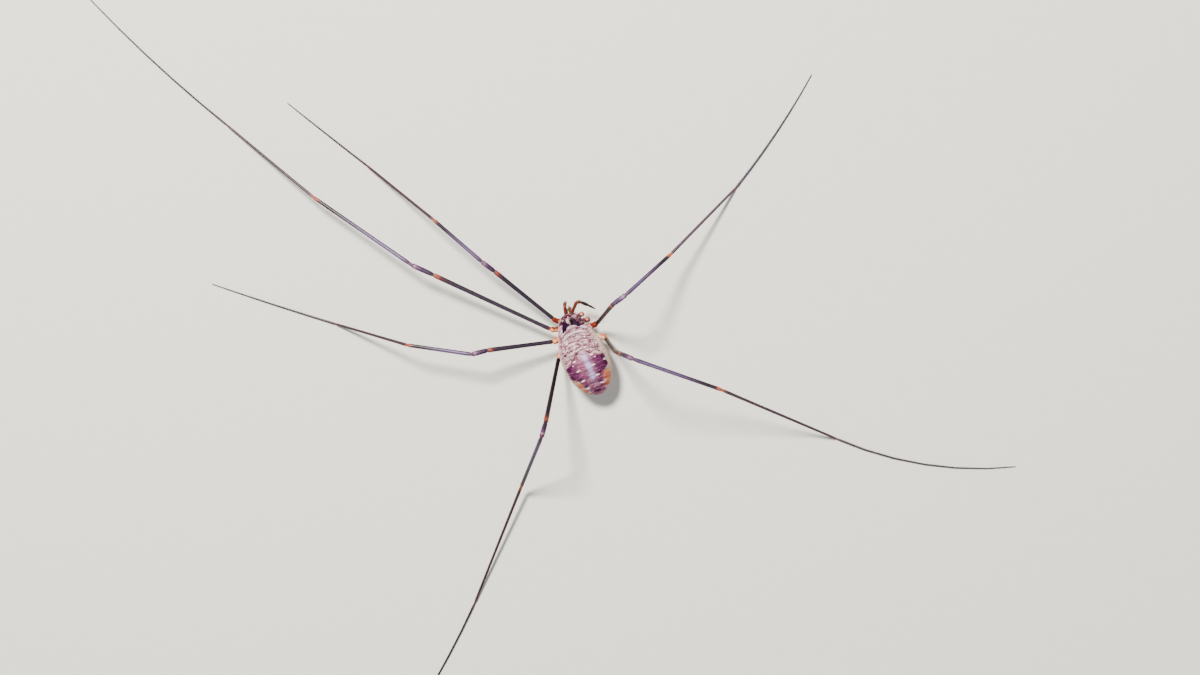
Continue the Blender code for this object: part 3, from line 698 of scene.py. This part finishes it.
# %% Eyes
EYE_RADIUS = 0.15
EYE_OFFSET = (0.19, -0.05, 0.16)
lens_black = start_material("eye_lens", Roughness=0.08, IOR=1.45, Coat_Weight=0.6)
spot = add(lens_black, "ShaderNodeTexCoord", {}, {})
depth = add(lens_black, "ShaderNodeTexNoise", {}, {
    "Vector": spot.outputs["Object"], "Scale": 9000.0, "Detail": 2.0})
tone = add(lens_black, "ShaderNodeMix", {"data_type": "RGBA"}, {
    "Factor": depth.outputs["Fac"], MIX_A: colour("#070608"), MIX_B: colour("#171014")})
feed(lens_black, "Base Color", tone.outputs[MIX_OUT])
for name, side in (("l", 1), ("r", -1)):
    centre = Vector(MOUND_CENTRE) + Vector((side * EYE_OFFSET[0], *EYE_OFFSET[1:]))
    eye = ball(f"eyeball_{name}", centre, (EYE_RADIUS,) * 3, 32, 24)
    eye.data.materials.append(lens_black)
    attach(eye, "root")
    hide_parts(f"eye_{name}")
print("eyes: 2")


# %% [markdown]
# A leg is one long hard tube with narrow joints: femur, patella, tibia, metatarsus, and a foot
# of several dozen tiny rings. The solid's eight-sided pieces give the place of every joint, so
# the middle line is read from them, and a tube with the real leg's thickness is laid on it. A
# number that grows from 0 at the trochanter to 5 at the tip of the foot stays on the mesh, for
# the bands of colour.

# %% Middle lines of the legs
SEGMENTS = ("femur", "patella", "tibia", "metatarsus", "tarsus")
WHOLE_LEGS = ("l1", "l2", "l3", "l4", "r3", "r4")
CAD_SIDES = 8
LEG_STEP, FOOT_STEP = 0.08, 0.055
LEG_EASING = 30


def ring_centres(node, start):
    """Centres in millimetres of a limb solid's rings, in order from the end nearest start."""
    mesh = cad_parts[node].data
    places = np.array([vertex.co for vertex in mesh.vertices]) / MM
    places = np.unique(np.round(places, 3), axis=0)
    centred = places - places.mean(0)
    axis = np.linalg.svd(centred, full_matrices=False)[2][0]
    if (np.array(start) - places.mean(0)) @ axis > 0:
        axis = -axis
    rings = places[np.argsort(centred @ axis)].reshape(-1, CAD_SIDES, 3)
    return rings.mean(1)


def leg_line(leg):
    """Points along a whole leg, each with its place: 0 to 1 on the femur, 1 to 2 and so on."""
    start = np.array(trochanter_end(leg)[1]) + ORIGIN / MM
    points, places = [], []
    rings = [ring_centres(f"{segment}_{leg}", start) for segment in SEGMENTS]
    joints = [start]
    joints += [(a[-1] + b[0]) / 2 for a, b in zip(rings, rings[1:])]
    for number, segment in enumerate(SEGMENTS):
        last = segment == "tarsus"
        inner = rings[number][1:] if last else rings[number][1:-1]
        end = [] if last else [joints[number + 1]]
        stretch = np.array([joints[number], *inner, *end])
        fine_line, along = resample(stretch, FOOT_STEP if last else LEG_STEP)
        if segment != "metatarsus":
            fine_line = soften(fine_line, LEG_EASING)
        keep = None if last else -1
        points.append(fine_line[:keep])
        places.append((number + along / along[-1])[:keep])
    return np.concatenate(points), np.concatenate(places)


# %% Thickness of the legs
LEG_PLACES = (0.0, 0.02, 0.05, 0.12, 0.50, 0.85, 0.95, 0.985, 1.0,
              1.04, 1.15, 1.50, 1.85, 1.95, 2.0,
              2.02, 2.06, 2.20, 2.60, 2.92, 2.97, 2.99, 3.0,
              3.01, 3.04, 3.15, 3.60, 3.97, 4.0, 4.02, 4.10, 4.60, 5.0)
LEG_RADII = (0.16, 0.20, 0.19, 0.18, 0.19, 0.21, 0.225, 0.21, 0.15,
             0.18, 0.215, 0.225, 0.23, 0.22, 0.15,
             0.155, 0.19, 0.18, 0.17, 0.17, 0.18, 0.155, 0.12,
             0.135, 0.15, 0.135, 0.12, 0.11, 0.08, 0.10, 0.09, 0.07, 0.04)
TARSOMERE = 0.28
RING_SWELL = 0.10
FOOT_CLEARANCE = 0.004
SOLID_FOOT_HEIGHT = 0.235
FOOT_SHORTER = 3

# Pale lilac on the upper side of the legs: partly a waxy bloom and partly a painted highlight of
# the sky, strongest on the knee and the start of the tibia.
BLOOM_AND_SHEEN_PLACES = (0.0, 1.0, 1.6, 1.9, 2.05, 2.15, 2.55, 2.85, 3.0, 5.0)
BLOOM_AND_SHEEN_SHARES = (0.25, 0.25, 0.30, 0.80, 0.45, 1.0, 0.7, 0.15, 0.30, 0.20)
LEG_BLOOM_AND_SHEEN = {"l1": 0.28, "l2": 0.36, "l3": 0.34, "l4": 0.12, "r3": 0.9, "r4": 0.6}
WARM_PLACES = (0.0, 0.02, 0.03, 0.945, 0.965, 1.00, 1.03, 2.95, 2.98, 3.02, 3.05, 5.0)
WARM_SHARES = (0.6, 0.3, 0.0, 0.0, 0.8, 1.0, 0.0, 0.0, 1.0, 0.8, 0.0, 0.0)
LEG_WARMTH = {"l1": 0.45, "l2": 0.55, "l3": 0.60, "l4": 0.35, "r3": 1.0, "r4": 0.9}

leg_lines = {}
legs = {}
for leg in WHOLE_LEGS:
    line, places = leg_line(leg)
    line, places = line[:-FOOT_SHORTER], places[:-FOOT_SHORTER]
    radii = np.interp(places, LEG_PLACES, LEG_RADII)
    steps = np.concatenate([[0], np.cumsum(np.linalg.norm(np.diff(line, axis=0), axis=1))])
    on_foot = places > 4
    phase = (steps / TARSOMERE) % 1.0
    radii = radii * (1 + RING_SWELL * np.where(on_foot, phase ** 2 - 0.4, 0.0))
    sink = ramp(3.0, 4.0, places)
    lowered = np.maximum(line[:, 2] - SOLID_FOOT_HEIGHT + radii, radii)
    line[:, 2] = line[:, 2] * (1 - sink) + lowered * sink
    line[on_foot, 2] = radii[on_foot] + FOOT_CLEARANCE
    leg_lines[leg] = (line, places, radii)
    legs[leg] = tube(f"leg_{leg}", line, radii, places / 5)
    count = len(legs[leg].data.vertices)
    kept = np.empty(count, np.float32)
    legs[leg].data.attributes["place"].data.foreach_get("value", kept)
    set_field(legs[leg], "bloom_and_painted_sheen",
              LEG_BLOOM_AND_SHEEN[leg] * np.interp(kept * 5, BLOOM_AND_SHEEN_PLACES, BLOOM_AND_SHEEN_SHARES))
    set_field(legs[leg], "warmth",
              LEG_WARMTH[leg] * np.interp(kept * 5, WARM_PLACES, WARM_SHARES))
    print(f"leg {leg}:", len(line), "rings")


# %% [markdown]
# Leg cuticle is dark violet brown and shiny. Where it faces the sky it is painted a pale lilac,
# partly a waxy bloom and partly a painted highlight of the sky. The bands lie at the same places
# on every leg, and two fields set how pale and how warm it is: orange at the hip and the ends of
# the femur, a pale spot on the knee that is a painted highlight, a dark band before the foot of
# the tibia. A colour ramp over the leg's own place number draws them, and noise breaks the edges.

# %% Leg cuticle
# The pale stop at 1.93, at the end of the patella, is a painted highlight on the knee.
BANDS = (
    (0.00, "#6a2c1a"), (0.03, "#140410"), (0.50, "#0c0210"), (0.88, "#160410"), (0.93, "#3c1414"),
    (0.98, "#421818"), (1.04, "#260e1c"), (1.60, "#2c1034"), (1.84, "#4c2448"), (1.93, "#8a6880"),
    (2.00, "#4c2030"), (2.06, "#34183c"), (2.30, "#3c2052"), (2.60, "#281234"), (2.80, "#150812"),
    (2.94, "#1c0c12"), (2.97, "#4a2020"), (3.02, "#44201c"), (3.06, "#301a20"), (3.90, "#2a171c"),
    (4.00, "#4a2820"), (4.06, "#24151a"), (4.60, "#1e1216"), (5.00, "#160d10"),
)
leg_cuticle = start_material("leg_cuticle", Roughness=0.28, IOR=1.54, Specular_IOR_Level=0.22)
here = add(leg_cuticle, "ShaderNodeAttribute", {"attribute_name": "place"}, {})
spot = add(leg_cuticle, "ShaderNodeTexCoord", {}, {})
cloud = add(leg_cuticle, "ShaderNodeTexNoise", {}, {
    "Vector": spot.outputs["Object"], "Scale": 5000.0, "Detail": 4.0, "Roughness": 0.6})
shift = add(leg_cuticle, "ShaderNodeMath", {"operation": "MULTIPLY_ADD"}, {
    0: cloud.outputs["Fac"], 1: 0.008, 2: -0.004})
torn = add(leg_cuticle, "ShaderNodeMath", {"operation": "ADD"}, {
    0: here.outputs["Fac"], 1: shift.outputs["Value"]})
bands = add(leg_cuticle, "ShaderNodeValToRGB", {}, {"Fac": torn.outputs["Value"]})
stops = bands.color_ramp.elements
stops[0].position, stops[0].color = BANDS[0][0] / 5, colour(BANDS[0][1])
stops[1].position, stops[1].color = BANDS[-1][0] / 5, colour(BANDS[-1][1])
for place, code in BANDS[1:-1]:
    stops.new(place / 5).color = colour(code)
warmth = add(leg_cuticle, "ShaderNodeAttribute", {"attribute_name": "warmth"}, {})
warmed = add(leg_cuticle, "ShaderNodeMix", {"data_type": "RGBA"}, {
    "Factor": warmth.outputs["Fac"], MIX_A: bands.outputs["Color"], MIX_B: colour("#b4521e")})
facing = add(leg_cuticle, "ShaderNodeNewGeometry", {}, {})
split = add(leg_cuticle, "ShaderNodeSeparateXYZ", {}, {"Vector": facing.outputs["Normal"]})
# Where the leg faces up it is painted pale lilac: partly a waxy bloom and partly a painted
# highlight of the sky.
skyward = add(leg_cuticle, "ShaderNodeMapRange", {"interpolation_type": "SMOOTHSTEP"}, {
    "Value": split.outputs["Z"], "From Min": 0.62, "From Max": 1.0, "To Max": 1.3})
amount = add(leg_cuticle, "ShaderNodeAttribute", {"attribute_name": "bloom_and_painted_sheen"}, {})
dust_and_painted_sheen = add(leg_cuticle, "ShaderNodeMath", {"operation": "MULTIPLY"}, {
    0: skyward.outputs["Result"], 1: cloud.outputs["Fac"]})
bloom_and_painted_sheen = add(leg_cuticle, "ShaderNodeMath", {"operation": "MULTIPLY", "use_clamp": True}, {
    0: dust_and_painted_sheen.outputs["Value"], 1: amount.outputs["Fac"]})
lilac = add(leg_cuticle, "ShaderNodeMix", {"data_type": "RGBA"}, {
    "Factor": bloom_and_painted_sheen.outputs["Value"], MIX_A: warmed.outputs[MIX_OUT], MIX_B: colour("#b49ccc")})
feed(leg_cuticle, "Base Color", lilac.outputs[MIX_OUT])
pits = add(leg_cuticle, "ShaderNodeBump", {}, {
    "Strength": 0.3, "Distance": 0.02 * MM, "Height": cloud.outputs["Fac"]})
feed(leg_cuticle, "Normal", pits.outputs["Normal"])
for leg, piece in legs.items():
    piece.data.materials.append(leg_cuticle)
    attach(piece, "root")
    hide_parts(*(f"{segment}_{leg}" for segment in SEGMENTS))
print("leg bands:", len(BANDS))


# %% [markdown]
# The jaws are a pair of small pincers that hang in front of the mouth, and the pedipalps are two
# short feelers built like legs. The left one reaches ahead and bends down, the right one is bent
# back over its own side. They are tubes as well, swollen at the middle of each segment.

# %% Jaws and feelers
MOUTH_X = -0.12
JAW_EASING, FINGER_EASING, FEELER_EASING = 20, 6, 14
CHELICERA_PATH = ((0.19, -1.45, 1.60), (0.19, -2.00, 1.62), (0.19, -2.14, 1.38),
                  (0.17, -2.10, 1.02))
CHELICERA_SHARES = (0.0, 0.15, 0.40, 0.50, 0.55, 0.70, 0.90, 1.0)
CHELICERA_RADII = (0.13, 0.15, 0.165, 0.14, 0.12, 0.17, 0.16, 0.10)
FINGER_SPREAD = 0.06
FINGER_LENGTH = 0.36
PALP_PATHS = {
    "l": ((0.20, -1.40, 2.11), (-0.15, -2.45, 2.26), (-0.19, -2.70, 1.92), (-0.15, -2.74, 1.25),
          (-0.02, -2.70, 0.45)),
    "r": ((-0.20, -1.40, 2.11), (-1.30, -2.42, 2.32), (-1.62, -2.28, 2.30), (-2.10, -1.77, 2.10),
          (-2.53, -1.22, 1.85)),
}
PALP_PLACES = (0.0, 0.3, 0.8, 0.96, 1.0, 1.05, 1.6, 1.93, 2.0, 2.06, 2.5, 2.93, 3.0, 3.05, 3.5, 4.0)
PALP_RADII = (0.13, 0.13, 0.155, 0.165, 0.11, 0.14, 0.175, 0.16, 0.105, 0.13, 0.155, 0.14, 0.09,
              0.10, 0.095, 0.045)

palp_cuticle = start_material("feeler_cuticle", Roughness=0.36, IOR=1.5,
                              Specular_IOR_Level=0.30)
here = add(palp_cuticle, "ShaderNodeAttribute", {"attribute_name": "place"}, {})
spot = add(palp_cuticle, "ShaderNodeTexCoord", {}, {})
cloud = add(palp_cuticle, "ShaderNodeTexNoise", {}, {
    "Vector": spot.outputs["Object"], "Scale": 5500.0, "Detail": 5.0, "Roughness": 0.65})
bands = add(palp_cuticle, "ShaderNodeValToRGB", {}, {"Fac": here.outputs["Fac"]})
stops = bands.color_ramp.elements
stops[0].position, stops[0].color = 0.0, colour("#4c1812")
stops[1].position, stops[1].color = 1.0, colour("#1a0c0c")
for place, code in ((0.22, "#662a12"), (0.45, "#521c0e"), (0.60, "#221012"), (0.80, "#1d0d0f")):
    stops.new(place).color = colour(code)
worn = add(palp_cuticle, "ShaderNodeMapRange", {}, {
    "Value": cloud.outputs["Fac"], "From Min": 0.3, "From Max": 0.7, "To Min": 0.7, "To Max": 1.2})
tinted = add(palp_cuticle, "ShaderNodeMix", {"data_type": "RGBA", "blend_type": "MULTIPLY"}, {
    "Factor": 1.0, MIX_A: bands.outputs["Color"], MIX_B: worn.outputs["Result"]})
feed(palp_cuticle, "Base Color", tinted.outputs[MIX_OUT])
pits = add(palp_cuticle, "ShaderNodeBump", {}, {
    "Strength": 0.4, "Distance": 0.03 * MM, "Height": cloud.outputs["Fac"]})
feed(palp_cuticle, "Normal", pits.outputs["Normal"])


def finish_tube(piece, material, nodes):
    """The material, and what the piece rides on, stands for and takes its finish from."""
    piece.data.materials.append(material)
    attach(piece, "root")
    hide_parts(*nodes)


palp_lines = {}
for name, side in (("l", 1), ("r", -1)):
    jaw_points = [(MOUTH_X + side * point[0], *point[1:]) for point in CHELICERA_PATH]
    path, along = resample(jaw_points, PATH_STEP)
    limb = tube(f"jaw_{name}", soften(path, JAW_EASING) + ORIGIN / MM,
                np.interp(along / along[-1], CHELICERA_SHARES, CHELICERA_RADII), (0.15, 0.15))
    hand = path[-1]
    fingers = []
    for spread in (-1, 1):
        finger_path = [hand + (0, spread * FINGER_SPREAD, 0.12),
                       hand + (0, spread * FINGER_SPREAD * 2.0, -FINGER_LENGTH * 0.5),
                       hand + (0, spread * FINGER_SPREAD * 0.5, -FINGER_LENGTH)]
        fine_line, along = resample(finger_path, PATH_STEP)
        finger = tube(f"finger_{name}", soften(fine_line, FINGER_EASING) + ORIGIN / MM,
                      np.interp(along / along[-1], (0, 0.6, 1), (0.07, 0.05, 0.015)),
                      (0.7, 0.7))
        fingers.append(finger)
    only(limb, *fingers)
    bpy.ops.object.join()
    finish_tube(bpy.context.object, palp_cuticle, [f"chelicera_{name}"])

    pieces, places = [], []
    corners = PALP_PATHS[name]
    for number, (a, b) in enumerate(zip(corners, corners[1:])):
        fine_line, along = resample([a, b], PATH_STEP)
        keep = None if number == len(corners) - 2 else -1
        pieces.append(fine_line[:keep])
        places.append((number + along / along[-1])[:keep])
    line = soften(np.concatenate(pieces), FEELER_EASING) + ORIGIN / MM
    places = np.concatenate(places)
    radii = np.interp(places, PALP_PLACES, PALP_RADII)
    palp_lines[name] = (line, places, radii)
    palp = tube(f"feeler_{name}", line, radii, places / 4)
    finish_tube(palp, palp_cuticle,
                [f"palp_{part}_{name}" for part in ("femur", "patella", "tibia", "tarsus")])
print("jaws and feelers: 2 pairs")


# %% [markdown]
# Under a lens the legs bristle: rows of short stiff thorns on femur, patella and tibia, and fine
# hairs on the outer segments. The back carries a few granules and the eye mound two rows of small
# pale teeth. Each of these is the same five-sided cone, modelled once, and set down hundreds of
# times in one joined mesh. A hair particle system would look alike but is lost in the export.

# %% Thorns, hairs and teeth from one cone
bpy.ops.object.select_all(action="DESELECT")
bpy.ops.mesh.primitive_cone_add(vertices=5, radius1=1.0, radius2=0.0, depth=1.0,
                                location=(0.0, 0.0, 0.5))
bpy.ops.object.transform_apply(location=True, rotation=True, scale=True)
cone = bpy.context.object
CONE_POINTS = np.array([vertex.co for vertex in cone.data.vertices])
CONE_FACES = [tuple(face.vertices) for face in cone.data.polygons]
bpy.data.objects.remove(cone, do_unlink=True)
dice = np.random.default_rng(7)


def unit(vectors):
    """The vectors at length 1."""
    return vectors / np.linalg.norm(vectors, axis=-1, keepdims=True)


def sizes(choice, count):
    """The same size for all, or one drawn for each between two limits."""
    return dice.uniform(*choice, count) if isinstance(choice, tuple) else np.full(count, choice)


PATCH = 0.0015


def cones(name, roots, ways, widths, lengths, patches, material):
    """One mesh of many cones: world roots in millimetres, ways, sizes and places for baking."""
    ways = unit(np.asarray(ways, float))
    helper = np.where(np.abs(ways[:, 2:3]) > 0.9, [[1.0, 0.0, 0.0]], [[0.0, 0.0, 1.0]])
    across = unit(np.cross(ways, helper))
    other = np.cross(ways, across)
    local = CONE_POINTS[None, :, :]
    widths, lengths = np.asarray(widths)[:, None, None], np.asarray(lengths)[:, None, None]
    points = (np.asarray(roots)[:, None, :] + local[:, :, 0:1] * widths * across[:, None, :]
              + local[:, :, 1:2] * widths * other[:, None, :]
              + local[:, :, 2:3] * lengths * ways[:, None, :])
    faces = [tuple(i + n * len(CONE_POINTS) for i in face)
             for n in range(len(roots)) for face in CONE_FACES]
    mesh = bpy.data.meshes.new(name)
    mesh.from_pydata((points.reshape(-1, 3) * MM).tolist(), [], faces)
    mesh.update()
    corners = np.empty(len(mesh.loops), np.int32)
    mesh.loops.foreach_get("vertex_index", corners)
    spread = np.asarray(patches)[:, None, :] + PATCH * CONE_POINTS[None, :, :2]
    baking = mesh.uv_layers.new(name="OFBake")
    baking.data.foreach_set("uv", spread.reshape(-1, 2)[corners].ravel().astype(np.float32))
    piece = bpy.data.objects.new(name, mesh)
    bpy.context.scene.collection.objects.link(piece)
    only(piece)
    bpy.ops.object.mode_set(mode="EDIT")
    bpy.ops.mesh.select_all(action="SELECT")
    bpy.ops.mesh.normals_make_consistent(inside=False)
    bpy.ops.object.mode_set(mode="OBJECT")
    bpy.ops.object.shade_smooth()
    piece.data.materials.append(material)
    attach(piece, "root")
    print(f"{name}:", len(roots), "cones")


# %% Bristle finish
def bristle_material(name, dark, light, roughness):
    """Solid chitin that is paler where a slow noise says so."""
    material = start_material(name, Roughness=roughness, IOR=1.54)
    spot = add(material, "ShaderNodeTexCoord", {}, {})
    drift = add(material, "ShaderNodeTexNoise", {}, {
        "Vector": spot.outputs["Object"], "Scale": 3000.0, "Detail": 2.0})
    tone = add(material, "ShaderNodeMix", {"data_type": "RGBA"}, {
        "Factor": drift.outputs["Fac"], MIX_A: colour(dark), MIX_B: colour(light)})
    feed(material, "Base Color", tone.outputs[MIX_OUT])
    return material


thorn_chitin = bristle_material("thorn_chitin", "#120a0c", "#3a2226", 0.35)
pale_chitin = bristle_material("pale_tooth_chitin", "#c79a9c", "#f3dcd6", 0.40)
claw_chitin = bristle_material("claw_chitin", "#1a0d08", "#4a2614", 0.22)


# %% Thorns and hairs on the legs
def along_limb(line, places, radii, low, high, spacing, lean, angles, jitter):
    """Roots and ways of cones in rows along a limb between two places on it."""
    inside = np.flatnonzero((places > low) & (places < high))
    steps = np.linalg.norm(np.diff(line[inside], axis=0), axis=1).mean()
    chosen = inside[::max(int(spacing / steps), 1)]
    tangent = unit(np.gradient(line, axis=0))[chosen]
    across = unit(np.cross(tangent, [0.0, 0.0, 1.0]))
    upward = np.cross(across, tangent)
    roots, ways, patches = [], [], []
    for angle in angles:
        turn = np.radians(angle + dice.uniform(-jitter, jitter, len(chosen)))[:, None]
        out = np.cos(turn) * across + np.sin(turn) * upward
        slide = dice.uniform(-0.4, 0.4, len(chosen))[:, None] * spacing
        roots.append(line[chosen] + out * radii[chosen, None] * 0.9 + tangent * slide)
        ways.append(out + lean * tangent)
        patches.append(np.column_stack([places[chosen] / 5, turn[:, 0] / (2 * math.pi) % 1.0]))
    return np.concatenate(roots), np.concatenate(ways), np.concatenate(patches)


THORN_ROWS = (15, 60, 120, 165, 230, 310)
HAIR_ROWS = (10, 50, 90, 130, 170)


def grow(name, limb, span, spacing, lean, rows, jitter, widths, lengths):
    """Rows of cones along a limb, in one piece."""
    roots, ways, patches = along_limb(*limb, *span, spacing, lean, rows, jitter)
    count = len(roots)
    cones(name, roots, ways, sizes(widths, count), sizes(lengths, count), patches,
          thorn_chitin)


for leg, limb in leg_lines.items():
    grow(f"thorns_{leg}", limb, (0.03, 2.96), 0.26, 0.9, THORN_ROWS, 8,
         (0.011, 0.016), (0.05, 0.085))
    grow(f"hairs_{leg}", limb, (3.02, 4.96), 0.20, 1.3, HAIR_ROWS, 20,
         (0.004, 0.006), (0.09, 0.14))
for name, limb in palp_lines.items():
    grow(f"feeler_hairs_{name}", limb, (0.55, 3.9), 0.12, 0.9, THORN_ROWS, 20,
         (0.005, 0.008), (0.06, 0.11))


# %% [markdown]
# Teeth and granules belong on the skin, so each is dropped onto it: a ray straight down from
# above finds the skin's surface and its slope at a place chosen in the body's frame. Its patch
# for baking lies by its angle round the body's middle line and its place along it. Two rows
# stand on the eye mound, a small group on the front edge, and granules along the sides of the
# front shield, where the photograph shows a pale sparkle.

# %% Teeth and granules on the skin
def drop_on_skin(places_xy):
    """World points in millimetres and normals of the skin under places in the body's frame."""
    points, ways, patches = [], [], []
    for x, y in places_xy:
        start = BODY_ORIGIN + Vector((x, y, 8.0)) * MM
        hit, point, normal, _ = skin.ray_cast(start, Vector((0, 0, -1)))
        if hit:
            points.append(np.array(point) / MM)
            ways.append(np.array(normal))
            there = (point - BODY_ORIGIN) / MM
            top, bottom = (np.interp(there.y, STATIONS["y"], STATIONS[key])
                           for key in ("top", "bottom"))
            height = there.z - bottom - MIDDLE_HEIGHT * (top - bottom)
            patches.append((0.5 + math.atan2(there.x, height) / (2 * math.pi),
                            (there.y - HEAD_FRONT) / BODY_LENGTH))
    return np.array(points), np.array(ways), np.clip(patches, 0.01, 0.99)


def sow(name, places_xy, depth, lean, widths, lengths, material):
    """Cones at places on the skin, set in to a depth and leaning, in one piece."""
    roots, ways, patches = drop_on_skin(places_xy)
    count = len(roots)
    cones(name, roots - ways * depth, ways + lean, sizes(widths, count), sizes(lengths, count),
          patches, material)


mound_teeth = [(MOUND_CENTRE[0] + side * (0.07 + 0.02 * (n % 2)), MOUND_CENTRE[1] - 0.20 + 0.08 * n)
               for side in (-1, 1) for n in range(6)]
front_teeth = [(-0.08 + 0.10 * n, -1.70 + 0.012 * n * n) for n in range(-5, 6)]
sow("mound_teeth", mound_teeth + front_teeth, 0.01, (0, -0.25, 0.15), 0.024, 0.085,
    pale_chitin)

granule_places = []
for side in (-1, 1):
    for n in range(46):
        y = dice.uniform(-1.55, 0.25)
        edge = np.interp(y, STATIONS["y"], STATIONS["half_width"])
        granule_places.append((side * edge * dice.uniform(0.62, 0.96), y))
sow("shield_granules", granule_places, 0.01, (0, 0, 0), (0.022, 0.034), (0.025, 0.045),
    pale_chitin)

tergite_places = []
for furrow, sweep in ABDOMEN_FURROWS:
    reach = np.interp(furrow, STATIONS["y"], STATIONS["half_width"]) * 0.82
    for x in np.arange(-reach, reach, 0.15):
        at = x + dice.uniform(-0.04, 0.04)
        tergite_places.append((at, furrow + sweep * at * at - 0.24 + dice.uniform(-0.05, 0.05)))
sow("back_granules", tergite_places, 0.008, (0, 0.3, 0), (0.020, 0.030), (0.022, 0.038),
    pale_chitin)

bristle_places = []
for furrow, _ in ABDOMEN_FURROWS:
    for x in np.arange(-1.7, 1.71, 0.28):
        bristle_places.append((x + dice.uniform(-0.08, 0.08), furrow + dice.uniform(-0.32, -0.12)))
sow("back_bristles", bristle_places, 0.005, (0, 0.8, 0), 0.007, (0.05, 0.08),
    thorn_chitin)

coxa_places = []
for leg in ALL_LEGS:
    bulb, _ = trochanter_end(leg)
    for n in range(16):
        turn, reach = dice.uniform(0, 2 * math.pi), 0.27 * math.sqrt(dice.uniform(0, 1))
        coxa_places.append((bulb.x + reach * math.cos(turn), bulb.y + reach * math.sin(turn)))
sow("coxa_thorns", coxa_places, 0.01, (0, 0, 0), 0.012, (0.035, 0.06), thorn_chitin)


# %% [markdown]
# Every foot ends in one small hooked claw, and so does each feeler. The hook is a short tapered
# tube on a curved path, in clear brown chitin, paler and darker by a slow noise. It is a piece of
# its own, because on the real animal it is harder than the skin and set off from it.

# %% Claws
CLAW_LENGTH = 0.12


def claw(name, line, radius):
    """A hooked claw at the end of a limb's middle line."""
    tip = line[-1]
    tangent = unit(line[-1] - line[-4])
    droop = np.array([0.0, 0.0, -1.0])
    shares = np.linspace(0, 1, 9)
    reach = CLAW_LENGTH * shares[:, None]
    path = tip - tangent * 0.03 + tangent * reach + droop * 0.35 * reach * shares[:, None] ** 2
    radii = radius * (0.75 - 0.65 * shares)
    path[:, 2] = np.maximum(path[:, 2], radii)
    piece = tube(name, path, radii)
    piece.data.materials.append(claw_chitin)
    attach(piece, "root")


for leg, (line, _, radii) in leg_lines.items():
    claw(f"claw_{leg}", line, radii[-1])
for name, (line, _, radii) in palp_lines.items():
    claw(f"feeler_claw_{name}", line, radii[-1])
print("claws:", len(leg_lines) + len(palp_lines))
